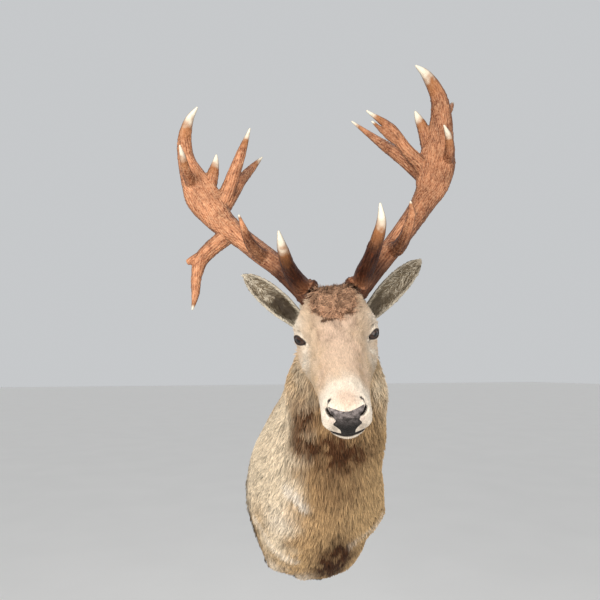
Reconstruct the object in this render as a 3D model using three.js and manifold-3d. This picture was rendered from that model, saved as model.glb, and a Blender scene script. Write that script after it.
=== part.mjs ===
// A life-size shoulder mount of a red deer stag, in millimetres, +Z up.
// The origin is the middle of the backboard's rear face, which lies against the wall in the plane y = 0.
// The stag looks out along -Y with its head turned to its own right, which is -X.
import * as THREE from "three";
import { mergeVertices } from "three/addons/utils/BufferGeometryUtils.js";
import Module from "manifold-3d";

const wasm = await Module();
wasm.setup();

// ---------------------------------------------------------------- driving sizes
const gap = 0.3; // clearance between neighbouring pieces
const board = { thickness: 18, inset: 17 };

// The head's own frame has its origin midway between the eyes, x to the stag's left, -y to the nose, z to the crown.
const head = { eyes: [-118, -398, 363], turn: -20, nod: 32.5, tilt: -5.5 };

// Lines along the head, read at the same stations: how far each lies in front of the eyes,
// then the height of the crown and throat and four half-widths between them.
const headLines = {
  station: [-95, -60, -20, 15, 55, 110, 170, 215, 240],
  crown: [80, 88, 82, 69, 53, 41, 32, 26, 20],
  throat: [-80, -104, -116, -112, -103, -92, -83, -78, -71],
  browWidth: [56, 66, 66, 58, 48, 38, 31, 28, 27],
  orbitWidth: [64, 80, 94, 75, 66, 59, 49, 45, 44],
  cheekWidth: [62, 76, 86, 84, 77, 64, 49, 44, 42],
  jawWidth: [42, 54, 60, 58, 51, 41, 33, 31, 28],
};
// Where those half-widths sit on the section, as shares of the way from throat to crown.
const headLevels = { brow: 0.9, orbit: 0.66, cheek: 0.42, jaw: 0.13 };
const muzzleDome = { from: 240, tip: 268, height: -14, power: 2.6, slant: 0.16 };
const occiputDome = { from: -95, tip: -135, height: 5, power: 2, slant: 0 };
const mouth = { height: -51, corner: 185 };
const nosePad = { height: -14, halfWidth: 37, halfHeight: 36, depth: 26, notch: 13 };

const eyes = {
  side: 68.5,
  forward: -5,
  height: 0,
  radius: 22,
  slit: { half: 18, halfHeight: 11, depth: 15 },
  facing: [0.7, -0.7, 0.13],
};

const ears = {
  thickness: 6,
  halfWidth: 29,
  cup: 32,
  share: [0, 0.15, 0.35, 0.55, 0.75, 0.9, 1],
  width: [0.62, 0.8, 0.98, 1, 0.82, 0.5, 0.12],
  depth: [1, 0.95, 0.82, 0.66, 0.48, 0.3, 0.14],
  left: { base: [78, 70, 8], middle: [150, 132, 52], tip: [224, 196, 82] },
  right: { base: [-78, 62, 8], middle: [-140, 118, 54], tip: [-207, 177, 92] },
};

// Sections of the neck and shoulders, from the wall to the head. Each hangs between a point on the
// nape and one on the chest or throat, [y, z] each, round a middle at x, with its greatest half-width.
const bodySections = [
  { nape: [-18.3, 292], chest: [-18.3, -290], x: -9, width: 210 },
  { nape: [-70, 312], chest: [-80, -280], x: -13, width: 204 },
  { nape: [-125, 345], chest: [-145, -222], x: -26, width: 183 },
  { nape: [-175, 375], chest: [-200, -125], x: -38, width: 158 },
  { nape: [-220, 402], chest: [-242, -28], x: -46, width: 139 },
  { nape: [-258, 424], chest: [-275, 75], x: -55, width: 124 },
  { nape: [-288, 440], chest: [-300, 175], x: -64, width: 109 },
  { nape: [-312, 447], chest: [-318, 250], x: -78, width: 94 },
  { nape: [-335, 437], chest: [-342, 300], x: -92, width: 64 },
];
// Half-widths up a section as shares of its greatest, near the wall and near the head.
const sectionShape = {
  level: [0, 0.02, 0.06, 0.11, 0.18, 0.28, 0.4, 0.46, 0.55, 0.7, 0.86, 0.96, 1],
  wall: [0, 0.2, 0.4, 0.63, 0.78, 0.9, 0.99, 1, 0.94, 0.77, 0.55, 0.29, 0],
  neck: [0, 0.26, 0.46, 0.62, 0.78, 0.92, 1, 1, 0.98, 0.89, 0.69, 0.38, 0],
};
// Swellings and hollows pressed into the neck and shoulders: where, how wide, and how far the surface moves.
const bodySwells = [
  { at: [185, -95, 10], size: [70, 70, 95], push: [-32, 0, 0] }, // left flank, drawn in
  { at: [140, -95, -190], size: [70, 70, 70], push: [-34, 0, 10] }, // cut of the left foreleg
  { at: [180, -60, -120], size: [50, 70, 34], push: [15, 0, 0] }, // corner above that cut
  { at: [0, -80, -290], size: [100, 80, 60], push: [0, 0, 26] }, // underside of the chest
  { at: [-210, -60, 115], size: [60, 110, 85], push: [-20, 0, 0] }, // right shoulder
  { at: [50, -285, 235], size: [50, 70, 55], push: [15, 0, 0] }, // mane, left of the throat
  { at: [135, -140, 55], size: [60, 80, 50], push: [-22, 0, 0] }, // dip between neck and left shoulder
  { at: [-165, -250, 270], size: [50, 70, 60], push: [-12, 0, 0] }, // mane, right of the throat
  { at: [-160, -40, -225], size: [32, 50, 26], push: [-12, 0, -8] }, // stump of the right foreleg
];
const shoulderCut = { through: [0, -150, 75], facing: [0, -0.82, 0.57] };

// Each antler in the head's frame. A branch runs through its points, each [x, y, z, half-width],
// flattened by its last share across the facing direction.
const antlerFacing = [0, -0.9, 0.45];
const antlers = {
  left: {
    coronet: { at: [54, 84, 72], along: [0.66, 0.66, 0.36], radius: 36, height: 22 },
    beam: [
      [44, 72, 58, 25], [80, 104, 84, 25], [104, 128, 100, 25], [152, 179, 129, 25],
      [221, 251, 179, 27], [262, 296, 215, 33, 0.8],
    ],
    crown: [
      [258, 292, 211, 31, 0.8], [276, 312, 236, 41, 0.62], [292, 340, 278, 48, 0.5], [308, 372, 330, 36, 0.64],
      [316, 390, 385, 27, 0.8], [309, 393, 436, 20], [278, 385, 488, 12], [248, 376, 514, 3],
    ],
    tines: {
      brow: [[66, 92, 78, 21], [72, 60, 118, 20], [86, 32, 166, 16], [104, 10, 236, 11], [104, 10, 282, 3]],
      bez: [[146, 172, 126, 19], [158, 134, 142, 17], [170, 95, 186, 13], [178, 78, 232, 9], [176, 79, 262, 3]],
      back: [[286, 352, 280, 20], [275, 396, 356, 15], [263, 408, 388, 10], [255, 415, 408, 3]],
      inner: [[280, 330, 250, 19], [250, 338, 288, 18], [216, 345, 328, 15], [181, 351, 379, 12], [123, 348, 426, 3]],
      innerSpur: [[206, 350, 338, 8], [184, 348, 354, 9], [160, 342, 376, 7], [133, 333, 402, 3]],
      low: [[276, 322, 236, 20], [240, 356, 276, 19], [205, 388, 308, 17], [172, 417, 332, 13], [96, 468, 394, 3]],
      front: [[318, 352, 275, 15], [318, 312, 308, 13], [308, 282, 350, 9], [290, 262, 384, 3]],
      spur: [[322, 388, 382, 12], [342, 410, 404, 9], [356, 431, 416, 5]],
    },
  },
  right: {
    coronet: { at: [-54, 80, 76], along: [-0.62, 0.66, 0.42], radius: 36, height: 22 },
    beam: [
      [-44, 66, 60, 25], [-80, 96, 96, 25], [-112, 128, 121, 25], [-153, 164, 144, 25],
      [-194, 206, 167, 25], [-250, 255, 203, 31, 0.85],
    ],
    crown: [
      [-244, 250, 199, 30, 0.85], [-272, 275, 226, 38, 0.66], [-300, 302, 264, 44, 0.52], [-318, 322, 306, 34, 0.64],
      [-331, 336, 352, 22], [-328, 341, 400, 17], [-308, 336, 444, 11], [-280, 330, 474, 3],
    ],
    tines: {
      brow: [[-64, 84, 82, 21], [-76, 52, 118, 20], [-88, 24, 162, 15], [-94, -4, 212, 11], [-97, -19, 254, 3]],
      bez: [[-142, 158, 138, 18], [-158, 134, 158, 16], [-174, 108, 200, 12], [-184, 84, 266, 3]],
      trez: [
        [-240, 238, 178, 21], [-290, 240, 146, 20], [-320, 234, 118, 18], [-331, 210, 86, 13],
        [-333, 176, 54, 10], [-338, 139, 29, 3],
      ],
      knob: [[-306, 240, 134, 14], [-334, 236, 124, 11], [-354, 232, 119, 6]],
      back: [[-290, 306, 262, 20], [-272, 332, 310, 15], [-262, 346, 338, 9], [-257, 352, 358, 3]],
      inner: [[-270, 282, 228, 20], [-240, 308, 266, 19], [-217, 334, 310, 16], [-190, 348, 362, 11], [-164, 356, 412, 3]],
      low: [[-262, 276, 220, 19], [-232, 320, 254, 17], [-206, 366, 284, 14], [-178, 412, 306, 10], [-150, 446, 327, 3]],
      front: [[-324, 314, 292, 14], [-322, 276, 330, 12], [-318, 248, 368, 8], [-316, 232, 402, 3]],
    },
  },
};

// ---------------------------------------------------------------- general helpers
const radians = THREE.MathUtils.degToRad;
const vec = (p) => new THREE.Vector3(p[0], p[1], p[2]);

// A smooth curve y(x) through the given stations, without overshoot.
function lineThrough(xs, ys) {
  const n = xs.length;
  const slope = xs.slice(1).map((x, i) => (ys[i + 1] - ys[i]) / (x - xs[i]));
  const tangent = ys.map((_, i) => {
    if (i === 0) return slope[0];
    if (i === n - 1) return slope[n - 2];
    return slope[i - 1] * slope[i] <= 0 ? 0 : (slope[i - 1] + slope[i]) / 2;
  });
  return (x) => {
    const inside = Math.min(Math.max(x, xs[0]), xs[n - 1]);
    let i = 0;
    while (i < n - 2 && inside > xs[i + 1]) i++;
    const h = xs[i + 1] - xs[i];
    const t = (inside - xs[i]) / h;
    return (
      ys[i] * (1 + 2 * t) * (1 - t) ** 2 +
      ys[i + 1] * t * t * (3 - 2 * t) +
      h * (tangent[i] * t * (1 - t) ** 2 - tangent[i + 1] * t * t * (1 - t))
    );
  };
}

// A closed body through rings of equally many points, with a fan to the middle of the first and last.
function loft(rings) {
  const n = rings[0].length;
  const middle = (ring) => ring.reduce((sum, p) => sum.add(p), new THREE.Vector3()).divideScalar(n);
  const points = [middle(rings[0]), ...rings.flat(), middle(rings.at(-1))];
  const at = (ring, i) => 1 + ring * n + (i % n);
  const index = [];
  for (let i = 0; i < n; i++) {
    index.push(0, at(0, i + 1), at(0, i));
    for (let r = 0; r < rings.length - 1; r++) {
      index.push(at(r, i), at(r, i + 1), at(r + 1, i));
      index.push(at(r, i + 1), at(r + 1, i + 1), at(r + 1, i));
    }
    index.push(points.length - 1, at(rings.length - 1, i), at(rings.length - 1, i + 1));
  }
  return new THREE.BufferGeometry().setFromPoints(points).setIndex(index);
}

// A closed geometry as a solid that can be cut and joined. Its faces may wind either way.
function solid(geometry, matrix = new THREE.Matrix4()) {
  const bare = new THREE.BufferGeometry();
  bare.setAttribute("position", geometry.getAttribute("position").clone());
  bare.setIndex(geometry.index);
  const merged = mergeVertices(bare.applyMatrix4(matrix), 1e-3);
  const make = (triVerts) =>
    new wasm.Manifold(
      new wasm.Mesh({ numProp: 3, vertProperties: merged.attributes.position.array, triVerts }),
    );
  const made = make(new Uint32Array(merged.index.array));
  if (made.volume() > 0) return made;
  return make(new Uint32Array(merged.index.array).reverse());
}

// The largest body of a cut shape, without the slivers that a cut can leave.
const mainBody = (shape) =>
  shape.decompose().reduce((best, one) => (one.volume() > best.volume() ? one : best));

const group = new THREE.Group();

function addPiece(name, shape, colour, roughness = 0.8) {
  const { vertProperties, triVerts, numProp } = shape.getMesh();
  const count = vertProperties.length / numProp;
  const positions = new Float32Array(count * 3);
  for (let i = 0; i < count; i++) {
    positions.set(vertProperties.subarray(i * numProp, i * numProp + 3), i * 3);
  }
  const geometry = new THREE.BufferGeometry();
  geometry.setAttribute("position", new THREE.BufferAttribute(positions, 3));
  geometry.setIndex(new THREE.BufferAttribute(new Uint32Array(triVerts), 1));
  geometry.computeVertexNormals();
  const mesh = new THREE.Mesh(
    geometry,
    new THREE.MeshStandardMaterial({ color: colour, roughness, metalness: 0 }),
  );
  mesh.name = name;
  group.add(mesh);
}

const headMatrix = new THREE.Matrix4()
  .makeRotationFromEuler(
    new THREE.Euler(radians(head.nod), radians(head.tilt), radians(head.turn), "ZXY"),
  )
  .setPosition(...head.eyes);
const inHead = (p) => vec(p).applyMatrix4(headMatrix);

// ---------------------------------------------------------------- head
function headSolid(grow = 0) {
  const line = Object.fromEntries(
    Object.entries(headLines).map(([name, values]) => [
      name,
      lineThrough(headLines.station, values),
    ]),
  );
  const segments = 24;

  const ringAt = (station, dome, share) => {
    const crown = line.crown(station) + grow;
    const throat = line.throat(station) - grow;
    const side = (name) => [
      line[name + "Width"](station) + grow,
      throat + (crown - throat) * headLevels[name],
    ];
    const half = ["brow", "orbit", "cheek", "jaw"].map(side);
    const outline = [
      [0, crown],
      ...half,
      [0, throat],
      ...half.map(([x, z]) => [-x, z]).reverse(),
    ];
    const curve = new THREE.CatmullRomCurve3(
      outline.map(([x, z]) => new THREE.Vector3(x, 0, z)),
      true,
      "centripetal",
    );
    const width = dome ? (1 - share ** dome.power) ** (1 / dome.power) : 1;
    const reach = dome ? dome.tip - dome.from + Math.sign(dome.tip) * grow : 0;
    return Array.from({ length: segments }, (_, i) => {
      const p = curve.getPoint(i / segments);
      if (!dome) return inHead([p.x, -station, p.z]);
      const z = dome.height + (p.z - dome.height) * width;
      const lean = dome.slant * (z - dome.height) * share;
      return inHead([p.x * width, -(dome.from + reach * share + lean), z]);
    });
  };

  const rings = [];
  const domeShares = [0.96, 0.82, 0.58, 0.3];
  for (const share of domeShares) rings.push(ringAt(occiputDome.from, occiputDome, share));
  const { station } = headLines;
  const steps = 14;
  for (let i = 0; i <= steps; i++) {
    rings.push(ringAt(station[0] + ((station.at(-1) - station[0]) * i) / steps));
  }
  for (const share of [...domeShares].reverse()) {
    rings.push(ringAt(muzzleDome.from, muzzleDome, share));
  }
  return solid(loft(rings));
}

// An ellipsoid in the head's frame, its half-axes along x, y, z before it is turned to face a way.
function headEllipsoid(centre, halfAxes, facing, segments = [24, 16]) {
  const turn = new THREE.Quaternion();
  if (facing) turn.setFromUnitVectors(new THREE.Vector3(0, -1, 0), vec(facing).normalize());
  const place = new THREE.Matrix4().compose(vec(centre), turn, vec(halfAxes));
  return solid(new THREE.SphereGeometry(1, ...segments), place.premultiply(headMatrix));
}

function headBox(from, to) {
  const size = to.map((v, i) => v - from[i]);
  const box = new THREE.BoxGeometry(...size).translate(...from.map((v, i) => v + size[i] / 2));
  return solid(box, headMatrix);
}

// The bare nose: an oval at the front of the muzzle with a dip at the top, down to the mouth.
function nosePadCutter(grow = 0) {
  const { height, halfWidth, halfHeight, depth, notch } = nosePad;
  const front = -muzzleDome.tip;
  const oval = headEllipsoid(
    [0, front, height],
    [halfWidth + grow, depth + grow, halfHeight + grow],
    null,
    [24, 14],
  );
  const dip = headEllipsoid(
    [0, front + 6, height + halfHeight + 2],
    [19 - grow, 40, notch + 3 - grow],
    null,
    [16, 8],
  );
  const below = headBox([-100, -400, -200], [100, 0, mouth.height + gap]);
  return oval.subtract(dip).subtract(below);
}

function eyeball(side, grow = 0) {
  const { side: out, forward, height, radius } = eyes;
  const r = radius + grow;
  return headEllipsoid([side * out, -forward, height], [r, r, r], null, [12, 8]);
}

function eyeOpening(side) {
  const { side: out, forward, height, radius, slit, facing } = eyes;
  const [x, y, z] = facing;
  const centre = [side * (out + x * radius), -forward + y * radius, height + z * radius];
  return headEllipsoid(centre, [slit.half, slit.depth, slit.halfHeight], [side * x, y, z], [12, 8]);
}

// A cupped leaf: a row of U-shaped sections from the base to the tip, open towards the front.
function earSolid({ base, middle, tip }) {
  const axis = new THREE.QuadraticBezierCurve3(vec(base), vec(middle), vec(tip));
  const width = lineThrough(ears.share, ears.width);
  const depth = lineThrough(ears.share, ears.depth);
  const facing = new THREE.Vector3(Math.sign(base[0]) * 0.3, -0.72, 0.5);
  const across = 8;
  const rings = Array.from({ length: 11 }, (_, row) => {
    const share = row / 10;
    const centre = axis.getPoint(share);
    const along = axis.getTangent(share);
    const front = facing.clone().addScaledVector(along, -facing.dot(along)).normalize();
    const side = new THREE.Vector3().crossVectors(along, front);
    const w = ears.halfWidth * width(share);
    const d = ears.cup * depth(share);
    const t = Math.min(ears.thickness, w * 0.6, d * 0.6);
    const at = (turn, inset) =>
      centre
        .clone()
        .addScaledVector(side, (w - inset) * Math.sin((turn * Math.PI) / 2))
        .addScaledVector(front, -(d - inset) * Math.cos((turn * Math.PI) / 2))
        .applyMatrix4(headMatrix);
    const turns = Array.from({ length: across + 1 }, (_, i) => -1 + (2 * i) / across);
    return { outer: turns.map((a) => at(a, 0)), inner: turns.map((a) => at(a, t)) };
  });
  const points = [];
  const index = [];
  const quad = (a, b, c, d) => {
    const k = points.length;
    points.push(a, b, c, d);
    index.push(k, k + 1, k + 2, k, k + 2, k + 3);
  };
  for (let r = 0; r < rings.length - 1; r++) {
    const [a, b] = [rings[r], rings[r + 1]];
    for (let i = 0; i < across; i++) {
      quad(a.outer[i], a.outer[i + 1], b.outer[i + 1], b.outer[i]);
      quad(a.inner[i + 1], a.inner[i], b.inner[i], b.inner[i + 1]);
    }
    quad(a.inner[0], a.outer[0], b.outer[0], b.inner[0]);
    quad(a.outer[across], a.inner[across], b.inner[across], b.outer[across]);
  }
  for (let i = 0; i < across; i++) {
    const [first, last] = [rings[0], rings.at(-1)];
    quad(first.inner[i], first.inner[i + 1], first.outer[i + 1], first.outer[i]);
    quad(last.outer[i], last.outer[i + 1], last.inner[i + 1], last.inner[i]);
  }
  return solid(new THREE.BufferGeometry().setFromPoints(points).setIndex(index));
}

// ---------------------------------------------------------------- neck and shoulders
const shapeNear = (kind) => lineThrough(sectionShape.level, sectionShape[kind]);
const wallShape = shapeNear("wall");
const neckShape = shapeNear("neck");

function swelled(p) {
  for (const { at, size, push } of bodySwells) {
    const reach = vec(at).sub(p).divide(vec(size)).lengthSq();
    p.addScaledVector(vec(push), Math.exp(-reach));
  }
  return p;
}

function bodyRing({ nape, chest, x, width }, neckShare, segments = 30, inset = 0) {
  const top = new THREE.Vector3(x, ...nape);
  const bottom = new THREE.Vector3(x, ...chest);
  const shrink = 1 - (2 * inset) / top.distanceTo(bottom);
  return Array.from({ length: segments }, (_, i) => {
    const angle = (2 * Math.PI * i) / segments;
    const level = 0.5 - 0.5 * Math.cos(angle);
    const half = THREE.MathUtils.lerp(wallShape(level), neckShape(level), neckShare);
    const p = bottom.clone().lerp(top, 0.5 + (level - 0.5) * shrink);
    p.x += (width - inset) * half * (i <= segments / 2 ? 1 : -1);
    return swelled(p);
  });
}

function bodySolid() {
  const at = bodySections.map((_, i) => i);
  const channel = (pick) => lineThrough(at, bodySections.map(pick));
  const lines = {
    napeY: channel((s) => s.nape[0]),
    napeZ: channel((s) => s.nape[1]),
    chestY: channel((s) => s.chest[0]),
    chestZ: channel((s) => s.chest[1]),
    x: channel((s) => s.x),
    width: channel((s) => s.width),
  };
  const last = bodySections.length - 1;
  const rings = Array.from({ length: 2 * last + 1 }, (_, i) => {
    const t = i / 2;
    return bodyRing(
      {
        nape: [lines.napeY(t), lines.napeZ(t)],
        chest: [lines.chestY(t), lines.chestZ(t)],
        x: lines.x(t),
        width: lines.width(t),
      },
      t / last,
    );
  });
  return solid(loft(rings));
}

function boardSolid() {
  const outline = bodyRing(bodySections[0], 0, 32, board.inset);
  const front = outline.map((p) => p.clone().setY(-board.thickness));
  const rear = outline.map((p) => p.clone().setY(0));
  return solid(loft([rear, front]));
}

// ---------------------------------------------------------------- antlers
function branchSolid(points, segments, grow = 0, perSpan = 2) {
  const axis = new THREE.CatmullRomCurve3(points.map(vec), false, "centripetal");
  const spans = points.map((_, i) => i);
  const halfWidth = lineThrough(spans, points.map((p) => p[3]));
  const flatness = lineThrough(spans, points.map((p) => p[4] ?? 1));
  const facing = vec(antlerFacing).normalize();
  const rings = [];
  const last = points.length - 1;
  for (let i = 0; i <= last * perSpan; i++) {
    const t = i / perSpan;
    const centre = axis.getPoint(t / last);
    const along = axis.getTangent(t / last);
    let front = facing.clone().addScaledVector(along, -facing.dot(along));
    if (front.length() < 0.35) front = new THREE.Vector3(1, 0, 0).addScaledVector(along, -along.x);
    front.normalize();
    const side = new THREE.Vector3().crossVectors(along, front);
    const w = halfWidth(t) + grow;
    const d = halfWidth(t) * flatness(t) + grow;
    rings.push(
      Array.from({ length: segments }, (_, k) => {
        const angle = (2 * Math.PI * k) / segments;
        return centre
          .clone()
          .addScaledVector(side, w * Math.cos(angle))
          .addScaledVector(front, d * Math.sin(angle))
          .applyMatrix4(headMatrix);
      }),
    );
  }
  return solid(loft(rings));
}

// The knobbly ring round an antler's foot.
function coronetSolid({ at, along, radius, height }) {
  const turn = new THREE.Quaternion().setFromUnitVectors(
    new THREE.Vector3(0, 0, 1),
    vec(along).normalize(),
  );
  const place = new THREE.Matrix4().compose(vec(at), turn, vec([1, 1, 1])).premultiply(headMatrix);
  const levels = [-0.5, -0.3, 0.25, 0.5];
  const swell = [0.78, 1, 1, 0.8];
  const rings = levels.map((level, row) =>
    Array.from({ length: 14 }, (_, i) => {
      const r = radius * swell[row] * (i % 2 ? 0.94 : 1);
      const a = (2 * Math.PI * i) / 14;
      return new THREE.Vector3(r * Math.cos(a), r * Math.sin(a), level * height);
    }),
  );
  return solid(loft(rings), place);
}

function addAntler(sideName, { coronet, beam, crown, tines }, headGrown) {
  const colour = "#6b4430";
  const name = (part) => `antler_${sideName}_${part}`;
  const beamShape = mainBody(branchSolid(beam, 9).subtract(headGrown));
  const beamGrown = branchSolid(beam, 9, gap);
  const crownShape = mainBody(branchSolid(crown, 10).subtract(beamGrown));
  const crownGrown = branchSolid(crown, 10, gap);
  let taken = headGrown.add(beamGrown).add(crownGrown);
  addPiece(name("beam"), beamShape, colour, 0.6);
  addPiece(name("crown"), crownShape, colour, 0.6);
  addPiece(name("coronet"), mainBody(coronetSolid(coronet).subtract(taken)), colour, 0.7);
  taken = taken.add(coronetSolid({ ...coronet, radius: coronet.radius + gap, height: coronet.height + 2 * gap }));
  for (const [part, points] of Object.entries(tines)) {
    addPiece(name(part), mainBody(branchSolid(points, 6).subtract(taken)), colour, 0.55);
    taken = taken.add(branchSolid(points, 6, gap));
  }
}

// ---------------------------------------------------------------- assembly
const fur = "#b59a78";
const headGrown = headSolid(gap);
const nose = nosePadCutter();
const noseGrown = nosePadCutter(gap);
const jawZone = headBox([-200, -400, -300], [200, -mouth.corner, mouth.height]);
const jawZoneGrown = headBox([-200, -400, -300], [200, -mouth.corner + gap, mouth.height + gap]);

let skull = headSolid();
const lowerJaw = skull.intersect(jawZone);
const nosePiece = skull.intersect(nose);
skull = skull.subtract(jawZoneGrown).subtract(noseGrown);
for (const side of [1, -1]) {
  skull = skull.subtract(eyeball(side, gap)).subtract(eyeOpening(side));
}

const earShapes = { left: earSolid(ears.left), right: earSolid(ears.right) };

addPiece("head", skull, fur, 0.9);
addPiece("lower_jaw", lowerJaw, "#d8cdb8", 0.9);
addPiece("nose", nosePiece, "#3a3536", 0.4);
addPiece("eye_left", eyeball(1), "#20140e", 0.1);
addPiece("eye_right", eyeball(-1), "#20140e", 0.1);
addPiece("ear_left", earShapes.left.subtract(headGrown), "#a89577", 0.9);
addPiece("ear_right", earShapes.right.subtract(headGrown), "#a89577", 0.9);

const bodyShape = bodySolid().subtract(headGrown);
const cutNormal = vec(shoulderCut.facing).normalize();
const cutOffset = cutNormal.dot(vec(shoulderCut.through));
const towardsHead = cutNormal.toArray();
const towardsWall = cutNormal.clone().negate().toArray();
addPiece("neck", bodyShape.trimByPlane(towardsHead, cutOffset + gap / 2), fur, 0.9);
addPiece("shoulders", bodyShape.trimByPlane(towardsWall, -cutOffset + gap / 2), fur, 0.9);
addPiece("backboard", boardSolid(), "#8a6b47", 0.6);

addAntler("left", antlers.left, headGrown);
addAntler("right", antlers.right, headGrown);

export default group;
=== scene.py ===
import itertools
import math
from types import SimpleNamespace

import bpy
import numpy as np
from mathutils import Matrix, Vector
from mathutils.bvhtree import BVHTree
from mathutils.kdtree import KDTree


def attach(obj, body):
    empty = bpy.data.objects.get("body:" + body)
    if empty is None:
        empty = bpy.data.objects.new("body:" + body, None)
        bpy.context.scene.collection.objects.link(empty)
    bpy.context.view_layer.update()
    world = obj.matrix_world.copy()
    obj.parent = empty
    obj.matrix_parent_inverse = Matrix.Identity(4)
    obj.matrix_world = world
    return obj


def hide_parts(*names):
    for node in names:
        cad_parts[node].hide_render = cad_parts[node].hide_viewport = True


# Shapes are worked out in millimetres in the frame's axes and become metres when a mesh is made.
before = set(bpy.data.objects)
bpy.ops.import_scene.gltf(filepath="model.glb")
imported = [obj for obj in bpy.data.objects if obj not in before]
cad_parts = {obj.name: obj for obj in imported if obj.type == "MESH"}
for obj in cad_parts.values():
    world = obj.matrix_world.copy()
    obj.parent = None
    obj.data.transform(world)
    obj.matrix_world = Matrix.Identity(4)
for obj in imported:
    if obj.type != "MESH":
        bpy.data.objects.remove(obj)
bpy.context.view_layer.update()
rng = np.random.default_rng(11)
mm = 0.001
skinBack = -18.4  # the flat back of the skin, against the board
lastHair = -19.5  # no hair grows behind this


def lineThrough(xs, ys):
    # a smooth curve y(x) through the stations, without overshoot
    xs, ys = np.array(xs, float), np.array(ys, float)
    slope = np.diff(ys) / np.diff(xs)
    tangent = np.concatenate([slope[:1], (slope[:-1] + slope[1:]) / 2, slope[-1:]])
    tangent[1:-1][slope[:-1] * slope[1:] <= 0] = 0

    def at(x):
        x = np.clip(x, xs[0], xs[-1])
        i = np.clip(np.searchsorted(xs, x) - 1, 0, len(xs) - 2)
        h = xs[i + 1] - xs[i]
        t = (x - xs[i]) / h
        rise = ys[i] * (1 + 2 * t) * (1 - t) ** 2 + ys[i + 1] * t * t * (3 - 2 * t)
        return rise + h * (tangent[i] * t * (1 - t) ** 2 - tangent[i + 1] * t * t * (1 - t))

    return at


def ease(start, end, x):
    # 0 at start and 1 at end, smoothly
    t = np.clip((x - start) / (end - start), 0, 1)
    return t * t * (3 - 2 * t)


def spot(points, centre, size):
    # 1 at the centre, fading to nothing about two sizes out
    return np.exp(-(((points - centre) / size) ** 2).sum(axis=1))


def bell(values, centre, width):
    return np.exp(-(((values - centre) / width) ** 2))


def blend(share, a, b):
    # a where the share is 0, b where it is 1
    if np.ndim(a) == 2:
        share = share[:, None]
    return a * (1 - share) + b * share


def columns(*values):
    return np.stack(np.broadcast_arrays(*values), axis=1)


def circle(right, up, count):
    # offsets round a circle, from its two axes
    angle = 2 * np.pi * np.arange(count) / count
    return np.outer(np.cos(angle), right) + np.outer(np.sin(angle), up)


def unit(vectors):
    return vectors / np.maximum(np.linalg.norm(vectors, axis=-1, keepdims=True), 1e-9)


lattice = rng.random((32, 32, 32))


def cloud(points, size):
    # soft random values from 0 to 1 that change over about the given size
    scaled = points / size
    cell = np.floor(scaled).astype(int)
    part = scaled - cell
    part = part * part * (3 - 2 * part)
    total = np.zeros(len(points))
    for corner in itertools.product((0, 1), repeat=3):
        weight = np.prod(np.where(corner, part, 1 - part), axis=1)
        i, j, k = ((cell + corner) % 32).T
        total += weight * lattice[i, j, k]
    return total


def mirrored(path):
    return [(-x, y, z) for x, y, z in path]


def awayFrom(points, path, mirror=False):
    # distance from each point to a path, or to the nearer of it and its mirror image
    if mirror:
        return np.minimum(awayFrom(points, path), awayFrom(points, mirrored(path)))
    path = np.array(path, float)
    steps = np.linalg.norm(np.diff(path, axis=0), axis=1)
    best = np.full(len(points), 1e9)
    for a, b, step in zip(path[:-1], path[1:], steps):
        t = np.clip((points - a) @ (b - a) / step**2, 0, 1)
        best = np.minimum(best, np.linalg.norm(points - a - t[:, None] * (b - a), axis=1))
    return best


def curveThrough(points, count):
    # points along a smooth open curve through the given ones, with equal shares of each span
    points = np.array(points, float)
    knots = np.concatenate([[2 * points[0] - points[1]], points, [2 * points[-1] - points[-2]]])
    t = np.linspace(0, len(points) - 1, count)
    i = np.minimum(t.astype(int), len(points) - 2)
    u = (t - i)[:, None]
    a, b, c, d = (knots[i + k] for k in range(4))
    bend, twist = 2 * a - 5 * b + 4 * c - d, 3 * b - a - 3 * c + d
    return 0.5 * (2 * b + (c - a) * u + bend * u**2 + twist * u**3)


def roundOutline(corners, count):
    # a closed smooth outline through the corners
    corners = np.array(corners, float)
    n = len(corners)
    t = np.arange(count) * n / count
    i = t.astype(int)
    u = (t - i)[:, None]
    a, b, c, d = (corners[(i + k) % n] for k in (-1, 0, 1, 2))
    sides = ((a, b), (b, c), (c, d))
    first, middle, last = (np.linalg.norm(q - p, axis=1, keepdims=True) ** 0.5 for p, q in sides)
    leave = (b - a) / first - (c - a) / (first + middle) + (c - b) / middle
    arrive = (c - b) / middle - (d - b) / (middle + last) + (d - c) / last
    leave, arrive = leave * middle, arrive * middle
    bend, twist = 3 * (c - b) - 2 * leave - arrive, 2 * (b - c) + leave + arrive
    return b + leave * u + bend * u**2 + twist * u**3


def loft(rings, capped=True):
    # points and faces of a closed body through rings of equally many points
    count, around = len(rings), len(rings[0])
    grid = np.arange(count * around).reshape(count, around)
    turned = np.roll(grid, -1, axis=1)
    quads = np.stack([grid[:-1], turned[:-1], turned[1:], grid[1:]], axis=-1).reshape(-1, 4)
    faces = quads.tolist()
    if capped:
        faces += [grid[0][::-1].tolist(), grid[-1].tolist()]
    return np.concatenate(rings), faces


def joined(shells):
    points, faces, used = [], [], 0
    for shellPoints, shellFaces in shells:
        points.append(shellPoints)
        faces += [[v + used for v in face] for face in shellFaces]
        used += len(shellPoints)
    return np.concatenate(points), faces


def inScene(name, data):
    thing = bpy.data.objects.new(name, data)
    bpy.context.scene.collection.objects.link(thing)
    return thing


def meshObject(name, points, faces, smooth=True):
    mesh = bpy.data.meshes.new(name)
    mesh.from_pydata((np.asarray(points) * mm).tolist(), [], faces)
    mesh.polygons.foreach_set("use_smooth", [smooth] * len(mesh.polygons))
    return inScene(name, mesh)


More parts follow.
